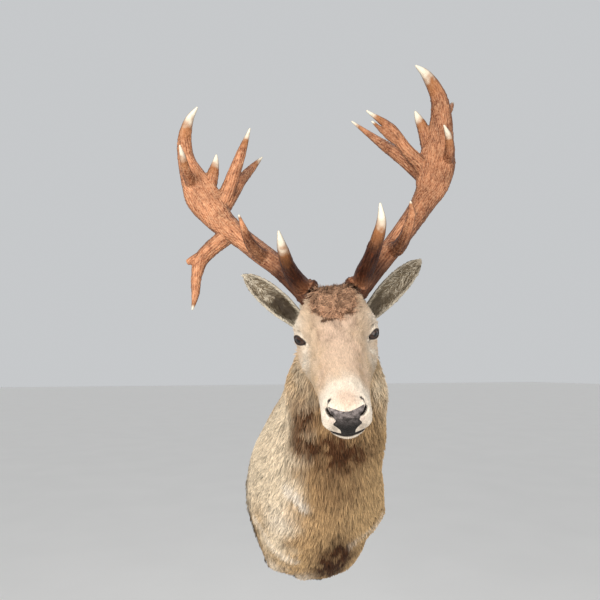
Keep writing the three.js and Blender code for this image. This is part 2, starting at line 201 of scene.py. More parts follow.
def triangleObject(name, points, triangles):
    # the quick way to make a large mesh of triangles
    mesh = bpy.data.meshes.new(name)
    mesh.vertices.add(len(points))
    mesh.loops.add(len(triangles) * 3)
    mesh.polygons.add(len(triangles))
    mesh.vertices.foreach_set("co", (points * mm).astype(np.float32).ravel())
    mesh.loops.foreach_set("vertex_index", triangles.astype(np.int32).ravel())
    mesh.polygons.foreach_set("loop_start", np.arange(len(triangles), dtype=np.int32) * 3)
    mesh.polygons.foreach_set("use_smooth", np.ones(len(triangles), bool))
    mesh.update(calc_edges=True)
    return inScene(name, mesh)


def fetched(items, key, width, kind=float):
    flat = np.empty(len(items) * width, kind)
    items.foreach_get(key, flat)
    return flat.reshape(-1, width)


def pointsOf(mesh):
    return fetched(mesh.vertices, "co", 3) / mm


def setPoints(mesh, points):
    mesh.vertices.foreach_set("co", (points * mm).ravel())
    mesh.update()


def normalsOf(mesh):
    return fetched(mesh.vertex_normals, "vector", 3, np.float32).astype(float)


def withModifier(piece, kind, **settings):
    # the piece's mesh as the modifier leaves it
    modifier = piece.modifiers.new(kind, kind)
    for key, value in settings.items():
        setattr(modifier, key, value)
    shown = piece.evaluated_get(bpy.context.evaluated_depsgraph_get())
    mesh = bpy.data.meshes.new_from_object(shown)
    piece.modifiers.remove(modifier)
    old, piece.data = piece.data, mesh
    mesh.name = piece.name
    bpy.data.meshes.remove(old)
    mesh.polygons.foreach_set("use_smooth", [True] * len(mesh.polygons))
    return mesh


def relax(mesh, points, share, rounds):
    # each round moves a point towards the middle of its neighbours by its share
    a, b = fetched(mesh.edges, "vertices", 2, np.int32).T
    n = len(points)
    degree = np.bincount(a, minlength=n) + np.bincount(b, minlength=n)
    share = np.broadcast_to(share, n)[:, None]
    for _ in range(rounds):
        total = np.stack(
            [np.bincount(a, points[b, k], n) + np.bincount(b, points[a, k], n) for k in range(3)],
            axis=1,
        )
        points = points + share * (total / degree[:, None] - points)
    return points


def setAttribute(mesh, name, values):
    layer = mesh.attributes.new(name, "FLOAT", "POINT")
    layer.data.foreach_set("value", np.asarray(values, np.float32))


# Where the head sits, in the row's axes, and how it is turned.
headPose = {"eyes": (-118, -398, 363), "turn": -20, "nod": 32.5, "tilt": -5.5}
turnNodTilt = [
    Matrix.Rotation(math.radians(headPose[key]), 3, axis)
    for key, axis in (("turn", "Z"), ("nod", "X"), ("tilt", "Y"))
]
headAxes = np.array(turnNodTilt[0] @ turnNodTilt[1] @ turnNodTilt[2])


def toRow(points):
    # from the head's own axes: x to the stag's left, -y to the nose, z to the crown
    return np.asarray(points, float) @ headAxes.T + headPose["eyes"]


def toHead(points):
    return (points - np.array(headPose["eyes"])) @ headAxes


def turnToRow(directions):
    return directions @ headAxes.T


# The head's outline at stations from the poll to the nose, and how high up it each half-width lies.
headLines = {
    "station": (-95, -60, -20, 15, 55, 110, 170, 215, 240),
    "crown": (80, 88, 82, 69, 53, 41, 32, 26, 20),
    "throat": (-80, -104, -116, -112, -103, -92, -83, -78, -71),
    "brow": (56, 66, 66, 58, 48, 38, 31, 28, 27),
    "orbit": (64, 80, 94, 75, 66, 59, 49, 45, 44),
    "cheek": (62, 76, 86, 84, 77, 64, 49, 44, 42),
    "jaw": (42, 54, 60, 58, 51, 41, 33, 31, 28),
}
headLevels = {"brow": 0.9, "orbit": 0.66, "cheek": 0.42, "jaw": 0.13}
muzzleDome = {"start": 240, "tip": 268, "height": -14, "power": 2.6, "slant": 0.16}
occiputDome = {"start": -95, "tip": -135, "height": 5, "power": 2, "slant": 0}

headLine = {
    key: lineThrough(headLines["station"], values)
    for key, values in headLines.items()
    if key != "station"
}


def headRing(station, dome=None, share=0.0, around=72):
    crown, throat = headLine["crown"](station), headLine["throat"](station)
    half = [
        (headLine[key](station), throat + (crown - throat) * level)
        for key, level in headLevels.items()
    ]
    outline = [(0, crown), *half, (0, throat), *[(-x, z) for x, z in reversed(half)]]
    x, z = roundOutline(outline, around).T
    forward = np.full(around, float(station))
    if dome:
        width = (1 - share ** dome["power"]) ** (1 / dome["power"])
        x, z = x * width, dome["height"] + (z - dome["height"]) * width
        lean = dome["slant"] * (z - dome["height"]) * share
        forward = dome["start"] + (dome["tip"] - dome["start"]) * share + lean
    return toRow(np.stack([x, -forward, z], axis=1))


def headShell():
    shares = (0.99, 0.95, 0.87, 0.76, 0.62, 0.46, 0.3, 0.15)
    rings = [headRing(occiputDome["start"], occiputDome, share) for share in shares]
    rings += [headRing(station) for station in np.linspace(-95, 240, 80)]
    rings += [headRing(muzzleDome["start"], muzzleDome, share) for share in reversed(shares)]
    return loft(rings)


# The neck and shoulders, in sections from the wall to the head.
bodySections = {
    "napeY": (-18.3, -70, -125, -175, -220, -258, -288, -312, -335),
    "napeZ": (292, 312, 345, 375, 402, 424, 440, 447, 437),
    "chestY": (-18.3, -80, -145, -200, -242, -275, -300, -318, -342),
    "chestZ": (-290, -280, -222, -125, -28, 75, 175, 250, 300),
    "middle": (-9, -13, -26, -38, -46, -55, -64, -78, -92),
    "width": (210, 204, 183, 158, 139, 124, 109, 94, 64),
}
sectionShape = {
    "level": (0, 0.02, 0.06, 0.11, 0.18, 0.28, 0.4, 0.46, 0.55, 0.7, 0.86, 0.96, 1),
    "wall": (0, 0.2, 0.4, 0.63, 0.78, 0.9, 0.99, 1, 0.94, 0.77, 0.55, 0.29, 0),
    "neck": (0, 0.26, 0.46, 0.62, 0.78, 0.92, 1, 1, 0.98, 0.89, 0.69, 0.38, 0),
}
# Swellings and hollows pressed into the neck and shoulders: where, how wide, and how far they push.
bodySwells = {
    "leftFlank": ((185, -95, 10), (70, 70, 95), (-32, 0, 0)),
    "leftStump": ((140, -95, -190), (70, 70, 70), (-34, 0, 10)),
    "leftCorner": ((180, -60, -120), (50, 70, 34), (15, 0, 0)),
    "underside": ((0, -80, -290), (100, 80, 60), (0, 0, 26)),
    "rightShoulder": ((-210, -60, 115), (60, 110, 85), (-20, 0, 0)),
    "maneLeft": ((50, -285, 235), (50, 70, 55), (15, 0, 0)),
    "neckDip": ((135, -140, 55), (60, 80, 50), (-22, 0, 0)),
    "maneRight": ((-165, -250, 270), (50, 70, 60), (-12, 0, 0)),
    "rightStump": ((-160, -40, -225), (32, 50, 26), (-12, 0, -8)),
}
# along is 0 at the wall and 1 at the head
bodyLine = {key: lineThrough(np.linspace(0, 1, 9), values) for key, values in bodySections.items()}
wallShape = lineThrough(sectionShape["level"], sectionShape["wall"])
neckShape = lineThrough(sectionShape["level"], sectionShape["neck"])


def swelled(points, swells):
    for place, size, push in swells.values():
        points = points + spot(points, place, size)[:, None] * np.array(push)
    return points


def bodyRing(along, around=96):
    angle = 2 * np.pi * np.arange(around) / around
    level = 0.5 - 0.5 * np.cos(angle)
    half = wallShape(level) * (1 - along) + neckShape(level) * along
    side = np.where(angle <= np.pi, 1, -1) * half * bodyLine["width"](along)
    y = bodyLine["chestY"](along) + (bodyLine["napeY"](along) - bodyLine["chestY"](along)) * level
    z = bodyLine["chestZ"](along) + (bodyLine["napeZ"](along) - bodyLine["chestZ"](along)) * level
    return swelled(np.stack([bodyLine["middle"](along) + side, y, z], axis=1), bodySwells)


def bodyShell():
    return loft([bodyRing(along) for along in np.linspace(0, 1, 73)])


def bodyPlace(points):
    # where points lie: along the body, up its section, and out from its middle as a share of the width
    steps = np.linspace(0, 1, 121)
    nape = np.stack([bodyLine["napeY"](steps), bodyLine["napeZ"](steps)], axis=1)
    chest = np.stack([bodyLine["chestY"](steps), bodyLine["chestZ"](steps)], axis=1)
    rise = nape - chest
    length = np.linalg.norm(rise, axis=1)
    y, z = points[:, 1, None], points[:, 2, None]
    across = (rise[:, 0] * (z - chest[:, 1]) - rise[:, 1] * (y - chest[:, 0])) / length
    i = np.abs(across).argmin(axis=1)
    along = steps[i]
    level = ((points[:, 1:] - chest[i]) * rise[i]).sum(axis=1) / length[i] ** 2
    out = (points[:, 0] - bodyLine["middle"](along)) / bodyLine["width"](along)
    return along, np.clip(level, 0, 1), out


earForm = {
    "thickness": 6.5,
    "halfWidth": 29,
    "cup": 32,
    "share": (0, 0.15, 0.35, 0.55, 0.75, 0.9, 1),
    "width": (0.62, 0.8, 0.98, 1, 0.86, 0.6, 0.2),
    "depth": (1, 0.95, 0.82, 0.66, 0.48, 0.3, 0.14),
    "facing": (0.3, -0.72, 0.5),
}
earPlaces = {
    1: {"base": (78, 70, 8), "middle": (150, 132, 52), "tip": (224, 196, 82)},
    -1: {"base": (-78, 62, 8), "middle": (-140, 118, 54), "tip": (-207, 177, 92)},
}
earWidth = lineThrough(earForm["share"], earForm["width"])
earDepth = lineThrough(earForm["share"], earForm["depth"])


def earFrame(sign, share):
    # middle line, and unit vectors along the ear, out of its open side and across it, in the head's axes
    base, middle, tip = (np.array(earPlaces[sign][key], float) for key in ("base", "middle", "tip"))
    share = np.atleast_1d(share)[:, None]
    centre = base * (1 - share) ** 2 + 2 * middle * share * (1 - share) + tip * share**2
    along = unit(2 * (middle - base) * (1 - share) + 2 * (tip - middle) * share)
    front = np.array(earForm["facing"]) * (sign, 1, 1)
    front = unit(front - (along @ front)[:, None] * along)
    return centre, along, front, np.cross(along, front)


def earShell(sign):
    rings = []
    turn = np.linspace(-1, 1, 25) * np.pi / 2
    for share in np.linspace(0, 1, 41):
        centre, _, front, side = (v[0] for v in earFrame(sign, share))
        width, cup = earForm["halfWidth"] * earWidth(share), earForm["cup"] * earDepth(share)
        skin = min(earForm["thickness"], width * 0.6, cup * 0.6)
        loop = [(width * math.sin(a), -cup * math.cos(a)) for a in turn]
        loop += [((width - skin) * math.sin(a), -(cup - skin) * math.cos(a)) for a in reversed(turn)]
        rings.append(toRow([centre + side * across + front * out for across, out in loop]))
    return loft(rings)


def earPlace(points, sign):
    # for points in the head's axes: share up the ear, offsets across and out of its open side, and distance
    length = np.linalg.norm(np.subtract(earPlaces[sign]["tip"], earPlaces[sign]["base"]))
    share = np.zeros(len(points))
    for _ in range(4):
        centre, along, front, side = earFrame(sign, share)
        share = np.clip(share + ((points - centre) * along).sum(axis=1) / length, 0, 1)
    centre, along, front, side = earFrame(sign, share)
    off = points - centre
    return share, (off * side).sum(axis=1), (off * front).sum(axis=1), np.linalg.norm(off, axis=1)


def sectionShare(points):
    # how far points lie from the head's middle line, where 1 is on its surface; points in the head's axes
    station = np.clip(-points[:, 1], -95, 240)
    crown, throat = headLine["crown"](station), headLine["throat"](station)
    width = np.maximum(headLine["cheek"](station), headLine["orbit"](station))
    up = (points[:, 2] - (crown + throat) / 2) / ((crown - throat) / 2)
    return np.hypot(points[:, 0] / width, up)


def headness(points):
    # 1 on the head's own surface, 0 on the neck; points in the head's axes
    return (1 - ease(1.04, 1.22, sectionShare(points))) * ease(-135, -105, -points[:, 1])


def earness(points):
    # 1 on the ears, fading out where they meet the head; points in the head's axes
    total = np.zeros(len(points))
    for sign in (1, -1):
        share, across, out, away = earPlace(points, sign)
        reach = earForm["halfWidth"] * earWidth(share) + 12
        beside = (points[:, 0] * sign > 60) & (points[:, 2] > -40)
        total = np.maximum(total, beside * (1 - ease(reach, reach + 10, away)))
    return total * ease(1.0, 1.12, sectionShare(points))


# The antlers' middle lines, in the head's axes: x, y, z, half-width and, where it isn't 1, flatness.
antlerFacing = np.array((0, -0.894, 0.447))
antlers = {
    "left": {
        "foot": {"at": (54, 84, 72), "axis": (0.66, 0.66, 0.36)},
        "beam": [
            (44, 72, 58, 25), (80, 104, 84, 25), (104, 128, 100, 25), (152, 179, 129, 25),
            (221, 251, 179, 27),
            (258, 292, 211, 32, 0.8), (276, 312, 236, 41, 0.62), (292, 340, 278, 48, 0.5),
            (308, 372, 330, 36, 0.64),
            (316, 390, 385, 27, 0.8), (309, 393, 436, 20), (278, 385, 488, 12), (248, 376, 514, 2.5),
        ],
        "brow": [
            (66, 92, 78, 21), (72, 60, 118, 20), (86, 32, 166, 16), (104, 10, 236, 11),
            (104, 10, 282, 2.5),
        ],
        "bez": [
            (146, 172, 126, 19), (158, 134, 142, 17), (170, 95, 186, 13), (178, 78, 232, 9),
            (176, 79, 262, 2.5),
        ],
        "back": [(286, 352, 280, 20), (275, 396, 356, 15), (263, 408, 388, 10), (255, 415, 408, 2.5)],
        "inner": [
            (280, 330, 250, 19), (250, 338, 288, 18), (216, 345, 328, 15), (181, 351, 379, 12),
            (123, 348, 426, 2.5),
        ],
        "innerSpur": [(206, 350, 338, 8), (184, 348, 354, 9), (160, 342, 376, 7), (133, 333, 402, 2.5)],
        "low": [
            (276, 322, 236, 20), (240, 356, 276, 19), (205, 388, 308, 17), (172, 417, 332, 13),
            (96, 468, 394, 2.5),
        ],
        "front": [(318, 352, 275, 15), (318, 312, 308, 13), (308, 282, 350, 9), (290, 262, 384, 2.5)],
        "spur": [(322, 388, 382, 12), (342, 410, 404, 9), (356, 431, 416, 4)],
    },
    "right": {
        "foot": {"at": (-54, 80, 76), "axis": (-0.62, 0.66, 0.42)},
        "beam": [
            (-44, 66, 60, 25), (-80, 96, 96, 25), (-112, 128, 121, 25), (-153, 164, 144, 25),
            (-194, 206, 167, 25),
            (-244, 250, 199, 31, 0.85), (-272, 275, 226, 38, 0.66), (-300, 302, 264, 44, 0.52),
            (-318, 322, 306, 34, 0.64),
            (-331, 336, 352, 22), (-328, 341, 400, 17), (-308, 336, 444, 11), (-280, 330, 474, 2.5),
        ],
        "brow": [
            (-64, 84, 82, 21), (-76, 52, 118, 20), (-88, 24, 162, 15), (-94, -4, 212, 11),
            (-97, -19, 254, 2.5),
        ],
        "bez": [(-142, 158, 138, 18), (-158, 134, 158, 16), (-174, 108, 200, 12), (-184, 84, 266, 2.5)],
        "trez": [
            (-240, 238, 178, 21), (-290, 240, 146, 20), (-320, 234, 118, 18), (-331, 210, 86, 13),
            (-333, 176, 54, 10),
            (-338, 139, 29, 2.5),
        ],
        "knob": [(-306, 240, 134, 14), (-334, 236, 124, 12), (-354, 232, 119, 7)],
        "back": [(-290, 306, 262, 20), (-272, 332, 310, 15), (-262, 346, 338, 9), (-257, 352, 358, 2.5)],
        "inner": [
            (-270, 282, 228, 20), (-240, 308, 266, 19), (-217, 334, 310, 16), (-190, 348, 362, 11),
            (-164, 356, 412, 2.5),
        ],
        "low": [
            (-262, 276, 220, 19), (-232, 320, 254, 17), (-206, 366, 284, 14), (-178, 412, 306, 10),
            (-150, 446, 327, 2.5),
        ],
        "front": [(-324, 314, 292, 14), (-322, 276, 330, 12), (-318, 248, 368, 8), (-316, 232, 402, 2.5)],
    },
}


def branchRings(branch, perSpan=14, around=28):
    # rings in the head's axes, with each ring's place along the branch and the middle line's frame
    table = np.array([point if len(point) == 5 else (*point, 1) for point in branch], float)
    count = (len(table) - 1) * perSpan + 1
    middle = curveThrough(table[:, :3], count)
    spans = np.linspace(0, len(table) - 1, count)
    width = lineThrough(range(len(table)), table[:, 3])(spans)
    thick = width * lineThrough(range(len(table)), table[:, 4])(spans)
    along = unit(np.gradient(middle, axis=0))
    front = antlerFacing - (along @ antlerFacing)[:, None] * along
    steep = np.linalg.norm(front, axis=1) < 0.35
    front[steep] = (np.array((1.0, 0, 0)) - along[:, :1] * along)[steep]
    front = unit(front)
    side = np.cross(along, front)
    angle = 2 * np.pi * np.arange(around) / around
    rings = [
        m + np.outer(np.cos(angle), s) * w + np.outer(np.sin(angle), f) * t
        for m, s, f, w, t in zip(middle, side, front, width, thick)
    ]
    return rings, middle, side, front, width


skinLook = {"voxel": 1.9, "pedicleRadius": 27, "thinned": 0.28, "creaseHeight": 4.5, "creaseWidth": 8}

# Folds and swellings pushed into the skin, in the head's axes, on both sides alike: where, how wide, how far.
headForms = {
    "browRidge": ((63, 6, 28), (16, 28, 11), (5, -2, 3)),
    "temple": ((80, 44, 24), (16, 26, 20), (-7, 0, 0)),
    "eyeHollow": ((58, -34, 16), (14, 18, 12), (-3, 2, -3)),
    "tearPit": ((68, -44, 0), (11, 17, 9), (-7, 2, 0)),
    "cheekRidge": ((72, -50, -32), (12, 46, 9), (4, 0, 1)),
    "cheekHollow": ((62, -120, -54), (14, 40, 16), (-5, 0, 0)),
    "jawMuscle": ((84, 0, -62), (18, 32, 30), (6, 0, 0)),
    "noseSide": ((46, -150, 8), (12, 60, 12), (-4, 0, -2)),
    "nostrilWing": ((37, -243, 6), (9, 14, 13), (5, -1, 3)),
    "upperLip": ((34, -240, -34), (16, 22, 9), (3, -2, -1)),
    "lipNotch": ((0, -272, -40), (4, 10, 14), (0, 2.5, 0)),
    "chin": ((10, -246, -66), (18, 12, 6), (0, -2.5, 0)),
    "poll": ((20, 62, 84), (26, 34, 14), (0, 0, 5)),
}
# The same on the neck and shoulders, in the row's axes.
bodyForms = {
    "brisket": ((-26, -178, -168), (36, 60, 50), (0, -10, -4)),
    "rightArmpit": ((-146, -150, -140), (14, 34, 14), (4, 11, 3)),
    "leftArmpit": ((92, -150, -150), (20, 36, 18), (-4, 9, 3)),
    "rightStump": ((-192, -70, -150), (12, 26, 50), (5, 3, 0)),
    "maneStep": ((-185, -238, 180), (18, 12, 60), (7, 4, 0)),
}
# the raised rims of skin over the cuts of the forelegs
rightCrease = [
    (-204, -60, -88), (-194, -94, -107), (-181, -102, -134), (-165, -112, -159), (-137, -131, -173),
    (-114, -141, -182),
]
leftCrease = [(4, -184, -142), (40, -178, -131), (83, -163, -115), (120, -138, -96), (150, -110, -84)]
browCreases = [
    [(-44, 2, 66), (-34, -8, 64), (-24, -8, 69), (-14, -2, 74), (-6, 8, 78)],
    [(-26, -30, 56), (-10, -33, 60), (4, -26, 63), (18, -20, 64), (34, -12, 63)],
    [(-16, -20, 64), (-4, -16, 67), (10, -10, 70)],
    [(14, 34, 82), (26, 22, 78), (38, 24, 74)],
]
mouthLine = [
    (0, -259, -57), (12, -259, -56), (24, -257, -51.5), (36, -245, -46.5), (44, -216, -47), (47, -186, -52),
]
nostrilLine = [
    (28.4, -239, 10), (31.8, -243.7, 6.6), (33.8, -248, 4.2), (34.2, -254, 0.5),
    (32.5, -259.4, -3.3), (29.3, -263, -6.2), (24.5, -265, -7.4),
]
# The bare pad between the nostrils: its half-width at each height, and its top edge with raised corners.
padShape = {
    "height": (-56, -51, -44, -38, -33, -29, -25.5, -22, -18.5, -15, -11, -7, -3, 2, 8),
    "half": (22, 14, 13, 14.5, 18, 22, 25, 24.5, 22, 21, 23, 26.5, 29, 31, 31.5),
    "top": 5.2,
    "corner": 2.4,
}
padHalf = lineThrough(padShape["height"], padShape["half"])
lipPatch = {"at": (26.5, -263, -16), "size": (5, 12, 4.5)}  # the bare pink skin under each nostril

eyeForm = {
    "at": (68.5, 5, 0),
    "radius": 21.5,
    "facing": (0.7, -0.7, 0.13),
    "slitAlong": (-0.62, -0.66, -0.06),
    "halfLength": 15,
    "tear": 1.36,
    "pinch": 0.52,
    "upper": 11.4,
    "lower": 8.6,
    "lid": 2.3,
    "socket": 1.8,  # how far the skin lies inside the globe
    "fold": 1.8,  # how deep the fold over the lid is
    "reach": 44,
}


def eyeFrame(sign):
    flip = np.array((sign, 1, 1))
    facing = unit(np.array(eyeForm["facing"]) * flip)
    slit = np.array(eyeForm["slitAlong"]) * flip
    slit = unit(slit - (slit @ facing) * facing)
    rise = np.cross(facing, slit)
    rise *= np.sign(rise[2])
    return np.array(eyeForm["at"]) * flip, slit, rise, facing


def lidShare(a, b):
    # 1 on the edge of the lids, less inside the opening; it runs to a point at the tear duct
    length = eyeForm["halfLength"] * np.where(a > 0, eyeForm["tear"], 1)
    pinch = 1 - eyeForm["pinch"] * np.clip(a / length, 0, 1) ** 2
    height = np.where(b > 0, eyeForm["upper"], eyeForm["lower"]) * pinch
    return np.sqrt((a / length) ** 2 + (b / height) ** 2)


def aroundEye(points, sign):
    centre, slit, rise, facing = eyeFrame(sign)
    off = points - centre
    return off @ slit, off @ rise, off @ facing


def shapeEyes(points):
    for sign in (1, -1):
        facing = eyeFrame(sign)[3]
        a, b, c = aroundEye(points, sign)
        share = lidShare(a, b)
        radius = eyeForm["radius"]
        swell = eyeForm["lid"] + (b > 0) * bell(share, 1.15, 0.2)
        flat = np.minimum(np.hypot(a, b), radius + 1)
        onLid = np.sqrt(np.maximum((radius + swell) ** 2 - flat**2, 0))
        inside = np.sqrt(np.maximum((radius - eyeForm["socket"]) ** 2 - flat**2, 0))
        depth = c + (onLid - c) * (1 - ease(1.25, 2.1, share)) * (flat < radius + 1)
        depth = depth - eyeForm["fold"] * bell(share, 1.62, 0.16) * ease(-2, 6, b)
        depth = inside + (depth - inside) * ease(0.94, 1.04, share)
        near = (c > 0) & (np.hypot(a, b) < eyeForm["reach"])
        points = points + np.where(near, depth - c, 0)[:, None] * facing
    return points


def topknot(points):
    # the curly dark hair between and before the antlers; points in the head's axes
    x, forward, z = points[:, 0], -points[:, 1], points[:, 2]
    edge = 33 - 17.5 * (x / 34) ** 2 + 16 * (cloud(points, 12) - 0.5)
    front = 1 - ease(edge - 9, edge + 9, forward)
    return front * (1 - ease(46, 58, np.abs(x))) * ease(30, 46, z) * ease(-150, -120, forward)


def surveyed(points):
    # where points lie in the head's axes and along the body, and how far each is on head, ears and topknot
    inHead = toHead(points)
    x, y, z = inHead.T
    along, level, out = bodyPlace(points)
    return SimpleNamespace(
        inHead=inHead,
        halfHead=columns(np.abs(x), y, z),
        x=x,
        wide=np.abs(x),
        forward=-y,
        z=z,
        onHead=headness(inHead),
        ear=earness(inHead),
        knot=topknot(inHead),
        along=along,
        level=level,
        out=out,
    )


# How deep the coat is along the body, and from the back of the head forward.
bodyDepth = lineThrough((0, 0.25, 0.5, 0.75, 1), (8, 8, 10, 13, 12))
faceDepth = lineThrough((-140, -90, -40, 20, 120, 200, 270), (9, 7, 5, 2.6, 2, 1.5, 0.8))
otherDepth = {"chest": 4, "wall": 4, "topknot": 4.5, "ear": 1.2}


def furDepth(points):
    # how far the skin lies under the tips of the coat
    at = surveyed(points)
    body = bodyDepth(at.along)
    body = body + otherDepth["chest"] * (1 - ease(0.3, 0.6, at.level)) * ease(0.3, 0.6, at.along)
    body = otherDepth["wall"] + (body - otherDepth["wall"]) * ease(-20, -70, points[:, 1])
    face = faceDepth(at.forward) + otherDepth["topknot"] * at.knot
    return at.ear * otherDepth["ear"] + (1 - at.ear) * blend(at.onHead, body, face)


def shapeHead(points):
    for place, size, push in headForms.values():
        for sign in (1, -1):
            flip = np.array((sign, 1, 1))
            # one in the middle is pushed from both sides, so each time by less
            share = 0.6 if place[0] == 0 else 1
            weight = spot(points, np.array(place) * flip, size)
            points = points + share * weight[:, None] * np.array(push) * flip
    return points


def carve(points, normals, path, width, depth, near):
    # a groove along a path, cut along the normals
    away = np.full(len(points), 1e3)
    away[near] = awayFrom(points[near], path)
    return points - normals * (depth * bell(away, 0, width))[:, None]


def footFrame(antler):
    # an antler's foot on the skull: its middle, its axis and two directions across it
    at, axis = (np.array(antler["foot"][key], float) for key in ("at", "axis"))
    axis = unit(axis)
    side = unit(np.cross(axis, (0, 1, 0)))
    return at, axis, side, np.cross(axis, side)


def pedicle(antler):
    # the stump of bone under the skin that carries an antler
    at, axis, side, upright = footFrame(antler)
    ring = circle(side, upright, 32) * skinLook["pedicleRadius"]
    return loft([toRow(at + axis * t + ring * r) for t, r in ((-46, 1.25), (-22, 1.12), (-6, 1))])


def makeSkin():
    pedicles = [pedicle(antler) for antler in antlers.values()]
    shells = joined([headShell(), bodyShell(), earShell(1), earShell(-1), *pedicles])
    piece = meshObject("skin", *shells)
    mesh = withModifier(piece, "REMESH", mode="VOXEL", voxel_size=skinLook["voxel"] * mm)
    points = pointsOf(mesh)
    print("skin: remeshed to", len(points), "points")

    inHead = toHead(points)
    ear, onHead = earness(inHead), headness(inHead)
    seam = bell(onHead, 0.5, 0.35) * (points[:, 1] < -120)
    points = relax(mesh, points, 0.5 * (1 - ear * 0.7), 5)
    points = relax(mesh, points, 0.5 * seam * (1 - ear), 60)

    # folds first, while the surface still has its full size
    points = swelled(toRow(shapeHead(toHead(points))), bodyForms)
    for crease in (rightCrease, leftCrease):
        setPoints(mesh, points)
        raised = skinLook["creaseHeight"] * bell(awayFrom(points, crease), 0, skinLook["creaseWidth"])
        points = points + normalsOf(mesh) * raised[:, None]

    # sink it under the coat, keeping the flat back where the board is
    setPoints(mesh, points)
    normals = normalsOf(mesh)
    atWall = points[:, 1] > lastHair
    normals[atWall, 1] = 0
    points = points - normals * furDepth(points)[:, None]
    points[atWall, 1] = skinBack
    points[:, 1] = np.minimum(points[:, 1], skinBack)
    points = toRow(shapeEyes(toHead(points)))
    setPoints(mesh, points)

    # the body needs far fewer points than the head
    inHead = toHead(points)
    keep = np.maximum(headness(inHead), earness(inHead))
    group = piece.vertex_groups.new(name="body")
    for level in np.arange(1, 5) / 4:
        chosen = np.flatnonzero(np.abs((1 - keep) - level) <= 0.125)
        group.add(chosen.tolist(), float(level), "REPLACE")
    withModifier(piece, "DECIMATE", ratio=skinLook["thinned"], vertex_group="body", vertex_group_factor=1)
    piece.vertex_groups.clear()
    withModifier(piece, "TRIANGULATE")
    print("skin:", len(piece.data.polygons), "triangles")
    return piece


skin = makeSkin()
print("skin shaped")


# Bands of each marking along a path, in the row's axes: how wide, and the path.
coatBands = {
    "maneEdge": (30, [
        (-178, -280, 262), (-177, -270, 230), (-174, -262, 190), (-169, -257, 150), (-164, -252, 112),
    ]),
    "leftStreak": (13, [(20, -300, 235), (30, -292, 190), (46, -268, 125), (52, -258, 80)]),
    "besideJaw": (26, [(-174, -308, 300), (-157, -307, 258), (-132, -305, 226)]),
    "flash": (13, [(-166, -210, 12), (-147, -219, -9), (-126, -220, -34)]),
    "rightCrease": (8, rightCrease),
    "leftCrease": (7, leftCrease),
    "rightStump": (6, [(-196, -50, -130), (-184, -60, -160), (-170, -70, -184)]),
}
# how far back the mane reaches at each height
maneBack = lineThrough((60, 118, 176, 234, 290), (-236, -244, -252, -264, -280))
# Soft spots of each marking on the body, in the row's axes: how strong, where and how wide.
bodySpots = {
    "cream": [
        (0.5, (-166, -165, -76), (40, 60, 36)),
        (0.7, (-78, -90, -240), (22, 60, 22)),
        (0.5, (-160, -50, -215), (34, 50, 24)),
    ],
    "mane": [
        (1.25, (-56, -280, 108), (84, 60, 36)),
        (0.8, (-139, -297, 205), (20, 34, 24)),
        (0.34, (-36, -240, 10), (60, 80, 70)),
        (0.3, (-144, -239, 36), (18, 30, 16)),
        (0.3, (-140, -282, 158), (26, 30, 34)),
        (-0.5, (-165, -308, 280), (30, 40, 40)),
        # painted light: less dark mane high on the stag's left of the neck
        (-0.4, (34, -300, 250), (24, 40, 36)),
        (0.6, (-24, -176, -172), (60, 90, 70)),
    ],
    "gold": [(1, (-86, -150, -190), (34, 60, 34)), (0.9, (-24, -184, -148), (60, 60, 60))],
    "lowRight": [(1, (-196, -92, -96), (20, 46, 60)), (1, (-160, -80, -186), (50, 60, 30))],
    # the second pale spot, high on the stag's left of the neck, is painted light
    "pale": [(0.6, (-168, -308, 285), (30, 40, 44)), (0.95, (36, -300, 252), (34, 50, 46))],
    "brisket": [(1.35, (-25, -164, -194), (46, 84, 56)), (0.5, (-34, -195, -134), (26, 40, 26))],
    "armpit": [(0.75, (-146, -147, -141), (10, 40, 10)), (0.6, (84, -144, -152), (26, 40, 10))],
}
# The same on the head, both sides alike, in the head's axes.
headSpots = {
    "underEye": [(1, (68, -62, -16), (22, 44, 28))],
    "brow": [(1, (76, 24, 26), (24, 30, 18)), (0.6, (72, 62, 40), (22, 16, 30))],
    "gold": [(0.35, (24, 20, 60), (26, 34, 30)), (0.3, (46, -60, 40), (14, 30, 16))],
    "besidePad": [(0.45, (24, -262, -34), (8, 16, 14)), (0.2, (12, -256, -66), (30, 30, 10))],
    "grey": [(0.5, (66, -110, -50), (30, 70, 40))],
    "lip": [(0.8, lipPatch["at"], lipPatch["size"])],
}
# How wide and deep the mouth, the nostrils and the creases of the brow are cut.
cuts = {"mouth": (3.2, 8), "nostrils": (2.8, 10), "brow": (3.2, 2.6)}
# the dark hollow is partly painted shade deep in each ear's cup
hollowReach = {1: 0.5, -1: 0.66}  # how far up each ear its dark hollow runs


def spotsOf(points, table):
    return np.array([strength * spot(points, place, size) for strength, place, size in table])


def eyeMarks(at):
    # the pale ring round each eye, the bare edge of its lids, and painted shade in the fold over the upper
    # lid
    pale, bare = np.zeros((2, len(at.x)))
    for sign in (1, -1):
        a, b, c = aroundEye(at.inHead, sign)
        share = lidShare(a, b)
        ring = bell(share, 1.45, 0.45) * (c > 0) * np.where(b > 0, 0.95, 0.8)
        # painted shade: a dark line in the fold over the upper lid
        fold = 0.6 * bell(share, 1.66, 0.1) * ease(6, 12, b) * (1 - ease(-2, 9, a))
        edge = np.maximum(1 - ease(1.06, 1.2, share), fold) * (c > 0) * (np.hypot(a, b) < 40)
        pale, bare = np.maximum(pale, ring * (1 - at.ear)), np.maximum(bare, edge)
    return pale, bare


